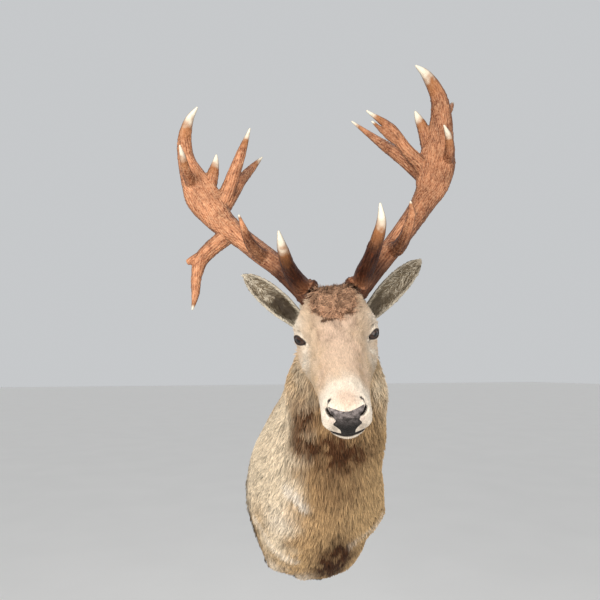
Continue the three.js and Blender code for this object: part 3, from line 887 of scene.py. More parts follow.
def earMarks(at, fine):
    # a dark hollow and a thin dark line inside the pale rim, under slanting streaks of pale hair; the
    # darkening deeper in the cup and the thin line are painted shade, the streaks the hair's own colour
    hollow, rim = np.zeros((2, len(at.x)))
    for sign, reach in hollowReach.items():
        share, across, front, away = earPlace(at.inHead, sign)
        wide, cup = earForm["halfWidth"] * earWidth(share), earForm["cup"] * earDepth(share)
        mine, depth = at.x * sign > 60, -front / (cup + 1)
        inside = np.hypot(across / wide, front / cup) < 1 - 0.5 * earForm["thickness"] / np.maximum(wide, cup)
        inside = inside * (front < 2) * mine
        # painted shade: darker deeper in the ear's cup
        deep = ease(0.3, 0.7, depth + 0.4 * fine) * ease(0.08, 0.16, share)
        deep = 1.4 * reach * deep * inside * (1 - ease(reach - 0.2, reach, share + 0.3 * fine))
        # painted shade: a thin dark line just inside the rim
        line = 0.4 * bell(depth, 0.3, 0.12) * inside * ease(0.3, 0.5, share) * (1 + 2 * fine)
        edge = np.maximum(ease(0.24, 0.1, depth), ease(0.93, 0.98, share)) * ease(0.05, 0.25, share)
        rim = np.max([rim, edge, 0.7 * mine * ease(0.34, 0.08, share)], axis=0)
        upright, slanting = 110 * share + 26 * np.abs(across), 155 * share - 18 * np.abs(across)
        streaks = cloud(columns(upright, 0.2 * slanting, 20 * np.sign(across) * sign) + 40, 5.5)
        hollow = np.max([hollow, deep, line, 0.6 * inside * ease(0.5, 0.25, streaks)], axis=0)
        rim = np.maximum(0.75 * rim, 0.85 * inside * ease(0.48, 0.7, streaks) * (1 - deep))
    hollow = np.clip(hollow, 0, 1) * at.ear
    return hollow, rim * at.ear * (1 - hollow)


def coatMarks(points):
    # how strongly each marking shows at each point of the coat, from 0 to 1
    at = surveyed(points)
    forward, wide, z, onHead = at.forward, at.wide, at.z, at.onHead
    rowX, rowY, rowZ = points.T
    onBody = (1 - onHead) * (1 - at.ear)
    soft, fine = cloud(points, 30) - 0.5, cloud(points, 11) - 0.5
    band = {key: bell(awayFrom(points, path), 0, width) for key, (width, path) in coatBands.items()}
    spots = {key: spotsOf(points, table) for key, table in bodySpots.items()}
    head = {key: spotsOf(at.halfHead, table).sum(axis=0) for key, table in headSpots.items()}
    lowRight = spots["lowRight"].max(axis=0)
    besideJaw = ease(0.2, 0.8, band["besideJaw"]) * onBody

    jowl = 0.4 * ease(52, 74, wide) * ease(30, 60, forward) * ease(30, -20, z) * onHead
    nape = 0.75 * ease(0.8, 0.97, at.along) * ease(0.35, 0.55, at.level)
    marks = {"body": (onBody * (1 - nape) + jowl) * (1 - 0.75 * besideJaw)}

    # white muzzle and chin, pale round the eyes, a flash on the chest, pale rims over the cut forelegs
    ring, lids = eyeMarks(at)
    muzzle = ease(166, 222, forward + 22 * fine - 0.35 * np.maximum(wide - 20, 0)) * onHead
    chin = 0.8 * ease(-52, -66, z) * ease(90, 150, forward) * onHead
    nearEye = np.maximum((0.85 + 1.2 * fine) * head["underEye"], head["brow"]) * (1 - at.ear)
    spread = [2.2 * band["flash"], 0.75 * band["rightCrease"], 0.6 * band["leftCrease"], *spots["cream"]]
    cream = np.clip(np.max([muzzle, chin, ring, nearEye, *(s * onBody for s in spread)], axis=0), 0, 1)
    marks["cream"] = cream

    # painted light: the topknot thins out towards the back of the crown, so that it is painted lighter there
    knot = marks["topknot"] = at.knot * (1 - at.ear) * (1 - 0.15 * ease(16, -24, forward))
    bridge = ease(-30, 20, forward) * (1 - ease(150, 215, forward)) * (1 - ease(30, 56, wide))
    overPad = 1.4 * spot(at.inHead, (2, -248, 16), (19, 24, 15))
    marks["pink"] = np.clip(np.maximum(bridge * (0.75 + 0.9 * soft), overPad), 0, 1) * onHead
    besideBridge = 0.4 * bell(wide, 35, 9) * ease(20, 70, forward) * (1 - ease(170, 215, forward))

    # the mane: dark down the throat and along its right edge, and under the chin
    edge = band["maneEdge"] * (1 - ease(-14, 12, rowY - maneBack(rowZ) + 14 * fine))
    edge = edge * (0.35 + 0.65 * ease(255, 190, rowZ))
    throat = ease(0.35, 0.6, at.along) * (1 - ease(0.3, 0.6, at.level + 0.25 * soft))
    behind = 0.35 * ease(-64, -30, rowY) * ease(-60, -100, rowZ) * (rowX < 0)
    mane = 0.3 * throat + 0.62 * edge + 0.4 * band["leftStreak"] + spots["mane"].sum(axis=0) + behind
    mane = np.clip(mane * (1 + 0.9 * soft + 0.8 * fine), 0, 1) * onBody * (1 - 0.6 * besideJaw)

    # dusky hair on the forehead, beside the bridge and along the jaw, in soft blotches
    blotch = ease(0.3, 0.8, cloud(at.inHead * (1.2, 0.6, 1.2) + 70, 13))
    dusk = ease(-60, -10, forward) * (1 - ease(60, 120, forward)) * (1 - ease(44, 66, wide))
    jaw = 0.5 * ease(40, 60, wide) * ease(60, 110, forward) * (1 - ease(180, 215, forward))
    dusk = np.clip((np.maximum(dusk, besideBridge) + jaw) * (0.04 + 0.32 * blotch), 0, 1)
    dusk = dusk * onHead * (1 - cream) * (1 - knot)
    # painted light: fewer dark locks towards the back of the crown
    locks = 0.8 * (1 - 0.5 * ease(16, -24, forward)) * knot
    locks = locks * ease(0.5, 0.66, cloud(at.inHead * (1.3, 0.6, 1) + 20, 8))
    # painted shade: the mane's dark colour laid along the creases of the brow
    creases = [0.95 * (1 - ease(3, 7, awayFrom(at.inHead, path))) for path in browCreases]
    marks["mane"] = np.max([mane, dusk, locks, head["besidePad"] * onHead, *creases], axis=0)

    low = ease(-64, -30, rowY) * ease(-40, -100, rowZ)
    gold = 0.9 * ease(-80, 20, rowX) + low + 0.8 * lowRight + spots["gold"].sum(axis=0)
    cheek = 0.4 * ease(34, 52, wide + 14 * soft) * ease(40, 90, forward) * (1 - ease(196, 226, forward))
    underJaw = 0.3 * ease(-40, -70, z) * (1 - ease(150, 210, forward))
    onFace = np.max([cheek, underJaw, besideBridge, head["gold"]], axis=0) * (1 + 2.4 * fine)
    marks["gold"] = np.clip(gold, 0, 1) * onBody * (1 - besideJaw)
    marks["gold"] = marks["gold"] + np.clip(onFace, 0, 1) * onHead * (1 - cream)

    flank = ease(-112, -168, rowX + 36 * soft) * (1 - edge) * ease(300, 200, rowZ)
    # painted light: pale laid high on the stag's left of the neck, the side turned away from the main light
    paintedLightLeftNeck = 0.75 * ease(10, 70, rowX) * ease(130, 250, rowZ)
    pale = np.max([flank, paintedLightLeftNeck, *spots["pale"]], axis=0) * (1 - 0.7 * lowRight)
    marks["pale"] = pale * (1 - 0.8 * ease(-60, -30, rowY) * ease(-60, -100, rowZ)) * onBody
    brisket = spots["brisket"].sum(axis=0) * (1 + 0.5 * soft + 1.3 * fine)
    brisket = brisket + spots["armpit"].sum(axis=0) + 0.6 * band["rightStump"]
    marks["brisket"] = np.clip(brisket, 0, 1) * onBody

    marks["grey"] = np.max([at.ear, onHead * head["grey"], besideJaw * (0.55 + 0.6 * fine)], axis=0)
    marks["hollow"], marks["rim"] = earMarks(at, fine)

    # the lips' bare dark skin, widened at the front with painted shade where the mouth opens; the nostril
    # slits are painted dark for the shade inside them
    lipsAndMouthShade = 1 - ease(2.6, 5, awayFrom(at.inHead, mouthLine, mirror=True) - 2.6 * ease(225, 250, forward))
    nostrils = 1 - ease(3, 4.6, awayFrom(at.inHead, nostrilLine, mirror=True))
    marks["bare"] = np.clip(np.max([lipsAndMouthShade, nostrils, lids], axis=0), 0, 1) * onHead
    marks["lip"] = np.clip(head["lip"], 0, 1) * onHead
    return marks


def carveSkin():
    # markings first, so that the walls of the mouth and nostrils are as dark as their edges: painted shade
    # inside the cuts
    mesh = skin.data
    points, normals = pointsOf(mesh), normalsOf(mesh) @ headAxes
    for key, values in coatMarks(points).items():
        setAttribute(mesh, key, values)
    inHead = toHead(points)
    front = inHead[:, 1] < -150
    top = (inHead[:, 1] > -80) & (inHead[:, 1] < 40) & (inHead[:, 2] > 30)
    for line, cut in ((mouthLine, "mouth"), (nostrilLine, "nostrils")):
        for path in (line, mirrored(line)):
            inHead = carve(inHead, normals, path, *cuts[cut], front)
    for path in browCreases:
        inHead = carve(inHead, normals, path, *cuts["brow"], top)
    setPoints(mesh, toRow(inHead))


carveSkin()


def padTop(x):
    return padShape["top"] + padShape["corner"] * ease(2, 20, np.abs(x))


def padMask(inHead):
    # 1 on the nose's bare pad
    x, z = np.abs(inHead[:, 0]), inHead[:, 2]
    inside = np.minimum(padHalf(z) - x, padTop(x) - z)
    return ease(-1, 1, inside) * (inHead[:, 1] < -225) * (z > padShape["height"][0])


eyeLook = {"pupil": (7.2, 3.6), "iris": 15.5, "cornea": 1.1, "rim": 1.5}


def makeEye(name, sign, node):
    centre, slit, rise, facing = eyeFrame(sign)
    ring = circle(slit, rise, 72)
    rings = []
    for angle in np.linspace(0.02, np.pi - 0.02, 60):
        bulge = eyeForm["radius"] + eyeLook["cornea"] * math.exp(-((angle / 0.5) ** 2))
        rings.append(centre + bulge * (math.cos(angle) * facing + math.sin(angle) * ring))
    points, faces = loft(rings)
    piece = meshObject(name, toRow(points), faces)
    for key, values in zip(("across", "rise", "front"), aroundEye(points, sign)):
        setAttribute(piece.data, key, values)
    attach(piece, "root")
    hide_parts(node)
    return piece


def lidEdge(count):
    # the edge of the lids in the eye's own plane
    angle = 2 * np.pi * np.arange(count) / count
    length = eyeForm["halfLength"] * np.where(np.cos(angle) > 0, eyeForm["tear"], 1)
    a = np.cos(angle) * length
    pinch = 1 - eyeForm["pinch"] * np.clip(a / length, 0, 1) ** 2
    return a, np.sin(angle) * np.where(np.sin(angle) > 0, eyeForm["upper"], eyeForm["lower"]) * pinch


def makeLid(name, sign):
    # the bare dark edge round each eye, a soft bead that follows the globe
    centre, slit, rise, facing = eyeFrame(sign)
    a, b = lidEdge(96)
    reach = eyeForm["radius"] + 1.2
    c = np.sqrt(reach**2 - np.minimum(a**2 + b**2, (reach - 4) ** 2))
    path = centre + np.outer(a, slit) + np.outer(b, rise) + np.outer(c, facing)
    tangent = unit(np.roll(path, -1, axis=0) - np.roll(path, 1, axis=0))
    outward = unit(path - centre)
    side = np.cross(tangent, outward)
    turn = 2 * np.pi * np.arange(10) / 10
    bead = eyeLook["rim"] * (1 + 0.25 * ease(-4, 6, b))
    rings = [
        p + r * (np.outer(np.cos(turn), o) * 0.8 + np.outer(np.sin(turn), s) * 1.15)
        for p, o, s, r in zip(path, outward, side, bead)
    ]
    rings.append(rings[0])
    points, faces = loft(rings, capped=False)
    piece = meshObject(name, toRow(points), faces)
    withModifier(piece, "WELD", merge_threshold=0.00002)
    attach(piece, "root")
    return piece


eyes = [makeEye("eyeLeft", 1, "eye_left"), makeEye("eyeRight", -1, "eye_right")]
lids = [makeLid("lidLeft", 1), makeLid("lidRight", -1)]
print("eyes and lids made")


noseLook = {"across": 81, "up": 67, "proud": 1.1, "thickness": 3, "pebble": 0.22}


def makeNose():
    # a grid laid over the skin inside the pad's outline, thickened to a thin shell just proud of it
    tree = BVHTree.FromPolygons(
        toHead(pointsOf(skin.data)).tolist(), [list(p.vertices) for p in skin.data.polygons]
    )
    rows = []
    for v in np.linspace(0, 1, noseLook["up"]):
        row = []
        for s in np.linspace(-1, 1, noseLook["across"]):
            bottom, top = padShape["height"][0], float(padTop(31 * s))
            z = bottom + (top - bottom) * v
            x = s * float(padHalf(z))
            hit, normal, *_ = tree.ray_cast(Vector((x, -320, z)), Vector((0, 1, 0)))
            edge = min(1, 12 * (1 - abs(s)), 12 * v, 14 * (1 - v))
            row.append(np.array(hit) + np.array(normal) * (noseLook["proud"] * edge - 0.3))
        rows.append(row)
    points = np.array(rows).reshape(-1, 3)
    points = points + np.array((0, -1, 0)) * (noseLook["pebble"] * (cloud(points, 1.6) - 0.5))[:, None]
    count = noseLook["across"]
    faces = [
        [r * count + c, r * count + c + 1, (r + 1) * count + c + 1, (r + 1) * count + c]
        for r in range(noseLook["up"] - 1)
        for c in range(count - 1)
    ]
    piece = meshObject("nose", toRow(points), faces)
    setAttribute(piece.data, "padHeight", points[:, 2])
    withModifier(piece, "SOLIDIFY", thickness=noseLook["thickness"] * mm, offset=-1)
    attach(piece, "root")
    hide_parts("nose")
    return piece


nose = makeNose()
print("nose made")


antlerLook = {
    "voxel": 2.0,
    "groove": 1.8,
    "grooveSpacing": 7,
    "pearl": 1.6,
    "beads": 30,
    # how much of each branch is worn to ivory at its tip
    "ivory": {
        "brow": 58,
        "bez": 9,
        "beam": 62,
        "back": 40,
        "inner": 36,
        "low": 34,
        "trez": 14,
        "front": 44,
        "knob": 1,
    },
    "otherIvory": 14,
    # how far up each branch the dark staining runs, and how strong it is
    "dark": {"brow": (240, 1), "bez": (150, 0.7), "beam": (170, 0.9)},
    # painted shade: one antler is painted darker all over, for the side that takes less light
    "paintedShadeAllOver": {"antlerLeft": 0.24, "antlerRight": 0},
    "foot": ((-10, 24), (-6, 28), (0, 29.5), (7, 28), (16, 23)),
}


def coronetShells(antler):
    # a ring of knobs round the antler's foot
    at, axis, side, upright = footFrame(antler)
    ring = circle(side, upright, 40)
    shells = [loft([at + axis * t + ring * r for t, r in antlerLook["foot"]])]
    for i in range(antlerLook["beads"] * 2):
        theta = 2 * np.pi * (i + 0.6 * rng.random()) / antlerLook["beads"]
        radius = 2.2 + 1.5 * rng.random()
        lift = (0 if i % 2 else 7) + 1.4 * rng.normal()
        outward = math.cos(theta) * side + math.sin(theta) * upright
        middle = at + axis * lift + outward * (29 - 0.12 * lift + 0.8 * rng.normal())
        flat, up = circle((1, 0, 0), (0, 1, 0), 10), np.array((0, 0, 1))
        polar = np.linspace(0.3, np.pi - 0.3, 6)
        shells.append(loft([middle + radius * (math.sin(p) * flat + math.cos(p) * up) for p in polar]))
    return shells


def alongBranches(name, keys, branches, inHead):
    # each point's angle round its nearest branch, how far along, towards the tip, half-width, and dark stain
    # with the painted shade laid over one whole antler
    scores, facts = [], []
    pick = np.arange(len(inHead))
    for key, (rings, middle, side, front, width) in zip(keys, branches):
        far = np.concatenate([[0], np.cumsum(np.linalg.norm(np.diff(middle, axis=0), axis=1))])
        off = inHead[:, None, :] - middle[None]
        away = np.linalg.norm(off, axis=2)
        i = (away / (width + 4)).argmin(axis=1)
        scores.append(away[pick, i] / (width[i] + 4))
        near = off[pick, i]
        tangent = unit(np.gradient(middle, axis=0))
        place = far[i] + (near * tangent[i]).sum(axis=1)
        angle = np.arctan2((near * front[i]).sum(axis=1), (near * side[i]).sum(axis=1))
        toTip = (far[-1] - place) / antlerLook["ivory"].get(key, antlerLook["otherIvory"])
        darkTo, stain = antlerLook["dark"].get(key, (1, 0))
        clear = 1 if key == "beam" else 0.4 + 0.6 * ease(10, 70, place)
        dark = stain * clear * (1 - ease(darkTo * 0.5, darkTo, place))
        facts.append((angle, place, toTip, width[i], np.maximum(dark, antlerLook["paintedShadeAllOver"][name])))
    best = np.argmin(scores, axis=0)
    return np.array(facts)[best, :, pick].T


def makeAntler(name, antler, nodes):
    keys = [key for key in antler if key != "foot"]
    branches = [branchRings(antler[key]) for key in keys]
    shells = [loft(rings) for rings, *_ in branches] + coronetShells(antler)
    points, faces = joined(shells)
    piece = meshObject(name, toRow(points), faces)
    mesh = withModifier(piece, "REMESH", mode="VOXEL", voxel_size=antlerLook["voxel"] * mm)
    inHead = toHead(relax(mesh, pointsOf(mesh), 0.5, 4))
    around, along, toTip, wide, dark = alongBranches(name, keys, branches, inHead)

    worn = toTip + 0.4 * (cloud(inHead, 8) - 0.5)
    rough = ease(0.4, 1.4, toTip) * ease(3, 12, wide)
    count = np.maximum(np.round(2 * np.pi * wide / antlerLook["grooveSpacing"]), 3)
    lie = columns(np.cos(around) * wide, np.sin(around) * wide, along * 0.22)
    groove = np.abs(2 * cloud(lie, 7.0) - 1) ** 0.6
    groove = 0.55 * groove + 0.45 * (0.5 + 0.5 * np.cos(around * count + 5 * cloud(inHead, 40)))
    pearls = np.clip(cloud(inHead, 4.2) * 1.9 - 0.9, 0, 1) * ease(0.2, 0.7, cloud(inHead, 38))
    setPoints(mesh, toRow(inHead))
    rise = rough * (antlerLook["groove"] * (groove - 0.6) + antlerLook["pearl"] * pearls)
    setPoints(mesh, toRow(inHead + normalsOf(mesh) @ headAxes * rise[:, None]))
    for key, values in {
        "ivory": 1 - ease(0.3, 1, worn),
        "ochre": 1 - ease(0.7, 1.7, worn),
        "groove": groove * rough + (1 - rough),
        "pearl": pearls * rough,
        "dark": dark,
        "lieX": lie[:, 0],
        "lieY": lie[:, 1],
        "lieZ": lie[:, 2],
    }.items():
        setAttribute(mesh, key, values)
    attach(piece, "root")
    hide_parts(*nodes)
    return piece


antlerPieces = []
for side, antler in antlers.items():
    nodes = [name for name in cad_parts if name.startswith(f"antler_{side}_")]
    antlerPieces.append(makeAntler(f"antler{side.title()}", antler, nodes))
    print("antler", side, "made,", len(antlerPieces[-1].data.polygons), "faces")


# The coat: tufts of hair as thin closed blades, rooted in the skin.
coatLook = {
    "face": 32,  # tufts for each square centimetre
    "topknot": 20,
    "ear": 18,
    "body": 16.5,
    "longFrom": 24,  # longer tufts get one more ring
    "roundness": 0.3,  # how far the shading turns across a tuft
    "sparkle": 2.2,  # and how much it differs from one tuft to the next, more so in the curls
    "lockSize": 9,
    "faceFrom": 50,  # where the face pieces meet the brow pieces, forward of the head's middle
    "piecesOfBody": 6,
    "unwrapFrom": 150,  # where the head's unwrap starts, behind its middle, and how far forward it runs
    "unwrapLength": 430,
    "patch": 0.003,  # each tuft's share of the unwrap
    "width": {"head": 1.35, "body": 2.15},
    "topknotLength": 17,
    "whiskerLength": 9,
    "hangingLock": 34,
}
faceLength = lineThrough((-140, -60, 0, 60, 140, 200, 240, 270), (18, 15, 12, 10, 9, 6.5, 4.5, 3))
bodyLength = lineThrough((0, 0.12, 0.35, 0.6, 0.85, 1), (12, 14, 17, 22, 21, 15))
# A tuft's rings: how far along it each lies, and how wide it is there.
tuftRings = {"long": ((0, 0.9), (0.34, 1), (0.7, 0.7), (1, 0)), "short": ((0, 0.95), (0.5, 0.8), (1, 0))}


def turned(directions, axes, angle):
    # directions turned about the axes
    cos, sin = np.cos(angle)[:, None], np.sin(angle)[:, None]
    return directions * cos + np.cross(axes, directions) * sin


def flattened(vectors, normals):
    # the part of the vectors that lies in the skin
    return vectors - (vectors * normals).sum(axis=1)[:, None] * normals


def headFlow(at):
    # down the face to the nose, away from the eyes, and forward in a fringe
    low = ease(20, -50, at.z) * ease(25, 60, at.wide)
    flow = columns(0.22 * np.sign(at.x) * ease(0, 50, at.wide), 1, -0.55 * low - 0.05)
    for sign in (1, -1):
        a, b, c = aroundEye(at.inHead, sign)
        slit, rise = eyeFrame(sign)[1:3]
        outward = unit(np.outer(a, slit) + np.outer(b, rise))
        flow = flow + 1.6 * outward * (bell(lidShare(a, b), 1.2, 0.9) * (c > 0))[:, None]
    fringe = columns(0.9 * at.x / 40, -1.0, 0.2)
    return turnToRow(unit(blend(at.knot, unit(flow), unit(fringe)))), low


def growth(points, normals):
    # which way each tuft lies and how long, wide, raised and curly it is
    at = surveyed(points)
    onHead, ear, knot = at.onHead, at.ear, at.knot
    count, onBody = len(points), 1 - at.onHead
    faceFlow, low = headFlow(at)
    nape, front = ease(0.72, 0.92, at.level), 1 - ease(0.3, 0.5, at.level)
    fan = 0.55 * np.clip(at.out, -1, 1) * (0.35 + ease(0.7, 0.25, at.along))
    bodyFlow = columns(fan, 0.35 + 0.5 * nape - 0.15 * front, -1 + 0.45 * nape)

    earFlow = np.zeros_like(points)
    inner, rim = np.zeros((2, count))
    for sign in (1, -1):
        share, across, lift, away = earPlace(at.inHead, sign)
        centre, lengthwise, opening, sideways = earFrame(sign, share)
        depth = lift / (earForm["cup"] * earDepth(share) + 1)
        mine = (at.x * sign > 0) & (ear > 0.02)
        inner[mine] = ease(-0.2, 0.3, (normals @ headAxes * opening).sum(axis=1))[mine]
        rim[mine] = 1 - ease(0.05, 0.3, -depth)[mine]
        spread = sideways * (np.sign(across) * (0.1 * ease(-0.7, -0.1, depth) - 0.55 * inner))[:, None]
        earFlow[mine] = turnToRow(lengthwise + spread)[mine]

    direction = blend(ear, unit(blend(onHead, bodyFlow, faceFlow)), unit(earFlow))
    wild = 0.34 + 1.4 * knot - 0.15 * ear - 0.08 * onBody
    drift = 1.3 * (cloud(points, 34) - 0.5) + 1.6 * (cloud(points + 50, 11) - 0.5)
    angle = wild * (drift + 0.25 * rng.normal(size=count))
    direction = turned(unit(flattened(direction, normals)), normals, angle)

    whisker = spot(at.halfHead, (80, 84, 2), (26, 40, 44)) * (1 - ear)
    length = faceLength(at.forward) * (1 + 0.5 * low * (at.forward < 180))
    length = blend(knot, length, coatLook["topknotLength"]) + coatLook["whiskerLength"] * whisker
    for path in browCreases:
        length = length * (0.45 + 0.55 * ease(3, 12, awayFrom(at.inHead, path)))
    body = bodyLength(at.along) * (1 + 0.25 * front * ease(0.25, 0.5, at.along))
    body = body + coatLook["hangingLock"] * spot(points, (-74, -92, -252), (15, 44, 26))
    # no tuft may reach back past the wall
    body = np.minimum(body, 6 + 0.32 * (-points[:, 1] - 18) + 8)
    length = blend(ear, blend(onHead, body, length), (8 + 7 * inner) * (1 - 0.5 * rim))
    bare = [awayFrom(at.inHead, line, mirror=True) for line in (mouthLine, nostrilLine)]
    length = length * (0.4 + 0.6 * ease(4, 16, np.minimum(*bare)))
    length = length * rng.uniform(0.75, 1.2, count)

    rise = furDepth(points) * rng.uniform(0.45, 1.15, count) * (1 - 0.6 * onHead * (1 - knot)) + 0.25
    rise = blend(ear, rise, 1.2 + 0.8 * inner) + 2.2 * whisker * rng.random(count)
    width = blend(onHead, coatLook["width"]["body"], coatLook["width"]["head"])
    return SimpleNamespace(
        direction=direction,
        length=length,
        width=width * (1 - 0.35 * ear) * rng.uniform(0.75, 1.25, count),
        rise=np.minimum(rise, 0.75 * length),
        curl=0.05 + 0.16 * knot + 0.04 * onBody,
        droop=0.12 * onBody * (1 - ear) * (length > 20),
    )


def tuftDensity(points):
    # tufts for each square centimetre
    at = surveyed(points)
    density = blend(at.onHead, coatLook["body"], coatLook["face"])
    density = blend(at.ear, blend(at.knot, density, coatLook["topknot"]), coatLook["ear"])
    density = density * (1 - ease(0, 0.5, padMask(at.inHead)))
    for sign in (1, -1):
        a, b, c = aroundEye(at.inHead, sign)
        density = density * np.where((c > 0) & (lidShare(a, b) < 1.22), 0, 1)
    for path in browCreases:
        density = density * ease(1.2, 3, awayFrom(at.inHead, path))
    density = density * (1 - 0.9 * spot(at.halfHead, lipPatch["at"], lipPatch["size"]))
    for antler in antlers.values():
        foot, axis, side, upright = footFrame(antler)
        height = (at.inHead - foot) @ axis
        radial = np.linalg.norm(at.inHead - foot - np.outer(height, axis), axis=1)
        density = density * np.where((height > -14) & (radial < 25), 0, 1)
    return density * (points[:, 1] < lastHair)


def rootsOnSkin():
    mesh = skin.data
    mesh.calc_loop_triangles()
    triangles = fetched(mesh.loop_triangles, "vertices", 3, np.int32)
    points, normals = pointsOf(mesh), normalsOf(mesh)
    a, b, c = points[triangles].transpose(1, 0, 2)
    area = np.linalg.norm(np.cross(b - a, c - a), axis=1) / 2
    bare = fetched(mesh.attributes["bare"].data, "value", 1, np.float32)[:, 0]
    haired = 1 - ease(0.15, 0.5, bare[triangles].max(axis=1))
    expected = np.cumsum(area / 100 * haired * tuftDensity((a + b + c) / 3))
    count = int(expected[-1])
    picked = np.searchsorted(expected, (np.arange(count) + rng.random(count)) * expected[-1] / count)
    picked = np.minimum(picked, len(triangles) - 1)
    u, v = rng.random(count), rng.random(count)
    over = u + v > 1
    u[over], v[over] = 1 - u[over], 1 - v[over]
    corner = triangles[picked]
    mix = columns(1 - u - v, u, v)[:, :, None]
    return (points[corner] * mix).sum(axis=1), unit((normals[corner] * mix).sum(axis=1))


def gathered(roots, tips):
    # draws each tuft's tip towards the tip of a leading tuft nearby, so that locks form
    order = rng.permutation(len(roots))
    leaders = order[: max(1, len(roots) // coatLook["lockSize"])]
    tree = KDTree(len(leaders))
    for i, leader in enumerate(leaders):
        tree.insert(roots[leader], i)
    tree.balance()
    nearest = leaders[[tree.find(root)[1] for root in roots]]
    return tips[nearest] - tips + 0.25 * (roots - roots[nearest])


def unwrap(points, part):
    # each part of the skin laid out flat by its own angle and length, from 0 to 1 both ways
    inHead = toHead(points)
    if part == "body":
        share, level, out = bodyPlace(points)
        angle = np.arctan2(out, level - 0.5)
    elif part == "head":
        middle = (headLine["crown"](-inHead[:, 1]) + headLine["throat"](-inHead[:, 1])) / 2
        angle = np.arctan2(inHead[:, 0], inHead[:, 2] - middle)
        share = (coatLook["unwrapFrom"] - inHead[:, 1]) / coatLook["unwrapLength"]
    else:
        share, across, front, away = earPlace(inHead, 1 if part == "earLeft" else -1)
        angle = np.arctan2(across, -front - earForm["cup"] * 0.2)
    return columns(angle / (2 * np.pi) + 0.5, share)


def tuftFaces(rings):
    # the triangles of a closed blade: rings of three points, and a tip
    faces, sides, last = [(0, 2, 1)], ((0, 1), (1, 2), (2, 0)), 3 * (rings - 2)
    for ring in range(0, last, 3):
        for i, j in sides:
            a, b, c, d = ring + i, ring + j, ring + 3 + j, ring + 3 + i
            faces += [(a, b, c), (a, c, d)]
    return np.array(faces + [(last + i, last + j, last + 3) for i, j in sides])


def makeTufts(name, roots, normals, part, span):
    # one coat piece; span is the stretch of the unwrap that it fills, from (u, v) to (u, v)
    count = len(roots)
    grow = growth(roots, normals)
    direction, length, rise = grow.direction, grow.length[:, None], grow.rise[:, None]
    sideways = np.cross(normals, direction)
    pull = flattened(gathered(roots, roots + direction * length), normals)
    far = np.maximum(np.linalg.norm(pull, axis=1, keepdims=True), 1e-6)
    pull = pull * np.minimum(1, 0.5 * length / far) * 0.75

    rings = tuftRings["long" if np.median(grow.length) > coatLook["longFrom"] else "short"]
    phase = rng.random(count) * 2 * np.pi
    points, corners = [], []
    for t, wide in rings:
        wave = (np.sin(phase + 5.5 * t) - np.sin(phase)) * grow.curl * t
        centre = roots + direction * length * t + normals * (rise * (t * (2 - t)) - 0.7 * (1 - t))
        centre = centre + sideways * length * wave[:, None] + pull * t**1.6
        centre = centre - np.outer(grow.droop * grow.length * t * t, (0, 0, 1))
        half = (grow.width * wide / 2)[:, None]
        for i, (aside, out) in enumerate(((1, 0), (0, 0.9), (-1, 0)) if wide else ((0, 0),)):
            points.append(centre + sideways * half * aside + normals * half * out)
            corners.append((0.5 * i, t, aside))
    corners, each = np.array(corners), len(corners)
    points = np.stack(points, axis=1).reshape(-1, 3)
    points[:, 1] = np.minimum(points[:, 1], -1)
    triangles = (tuftFaces(len(rings))[None] + (np.arange(count) * each)[:, None, None]).reshape(-1, 3)
    piece = triangleObject(name, points, triangles)
    # each tuft is shaded nearly as the skin beneath it, so that the coat reads as one soft surface
    lean = normals + (coatLook["sparkle"] * grow.curl)[:, None] * rng.normal(size=(count, 3))
    shade = lean[:, None] + (sideways * coatLook["roundness"])[:, None] * corners[:, 2, None]
    piece.data.normals_split_custom_set_from_vertices(unit(shade).reshape(-1, 3).tolist())

    # hair is coloured by the place that its middle covers
    marks = coatMarks(roots + 0.5 * direction * length)
    marks["strand"] = 0.55 * rng.random(count) + 0.45 * cloud(roots * (1, 0.7, 0.5), 5)
    for key, values in marks.items():
        setAttribute(piece.data, key, np.repeat(values, each))
    setAttribute(piece.data, "tip", np.tile(corners[:, 1], count))

    size, (low, high) = coatLook["patch"], np.array(span)
    place = (unwrap(roots, part) - low) / (high - low) * (1 - 2 * size) + size / 2
    uv = (place[:, None] + corners[:, :2] * size).reshape(-1, 2)
    layer = piece.data.uv_layers.new(name="OFBake")
    layer.data.foreach_set("uv", uv[triangles.ravel()].astype(np.float32).ravel())
    piece.data.materials.append(coatMaterial)
    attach(piece, "root")
    print(name, len(triangles), "triangles")
    return piece


def makeCoat():
    roots, normals = rootsOnSkin()
    inHead = toHead(roots)
    ear, onHead = earness(inHead) > 0.35, headness(inHead) > 0.5
    left, front = inHead[:, 0] > 0, inHead[:, 1] < -coatLook["faceFrom"]
    head = onHead & ~ear
    middle = (coatLook["unwrapFrom"] + coatLook["faceFrom"]) / coatLook["unwrapLength"]
    parts = [
        ("coatFaceLeft", "head", head & left & front, ((0.5, middle), (1, 1))),
        ("coatFaceRight", "head", head & ~left & front, ((0, middle), (0.5, 1))),
        ("coatBrowLeft", "head", head & left & ~front, ((0.5, 0), (1, middle))),
        ("coatBrowRight", "head", head & ~left & ~front, ((0, 0), (0.5, middle))),
        ("coatEarLeft", "earLeft", ear & left, ((0, 0), (1, 1))),
        ("coatEarRight", "earRight", ear & ~left, ((0, 0), (1, 1))),
    ]
    body = np.flatnonzero(~onHead & ~ear)
    share = bodyPlace(roots[body])[0]
    order = np.argsort(share, kind="stable")
    for i, chosen in enumerate(np.array_split(order, coatLook["piecesOfBody"])):
        span = ((0, share[chosen[0]] - 0.001), (1, share[chosen[-1]] + 0.001))
        parts.append((f"coatBody{i + 1}", "body", body[chosen], span))
    return [makeTufts(name, roots[chosen], normals[chosen], part, span) for name, part, chosen, span in parts]


def tint(red, green, blue):
    # a screen colour, 0 to 255, as the shader wants it
    return (*[((c / 255 + 0.055) / 1.055) ** 2.4 if c > 10 else c / 3295 for c in (red, green, blue)], 1)


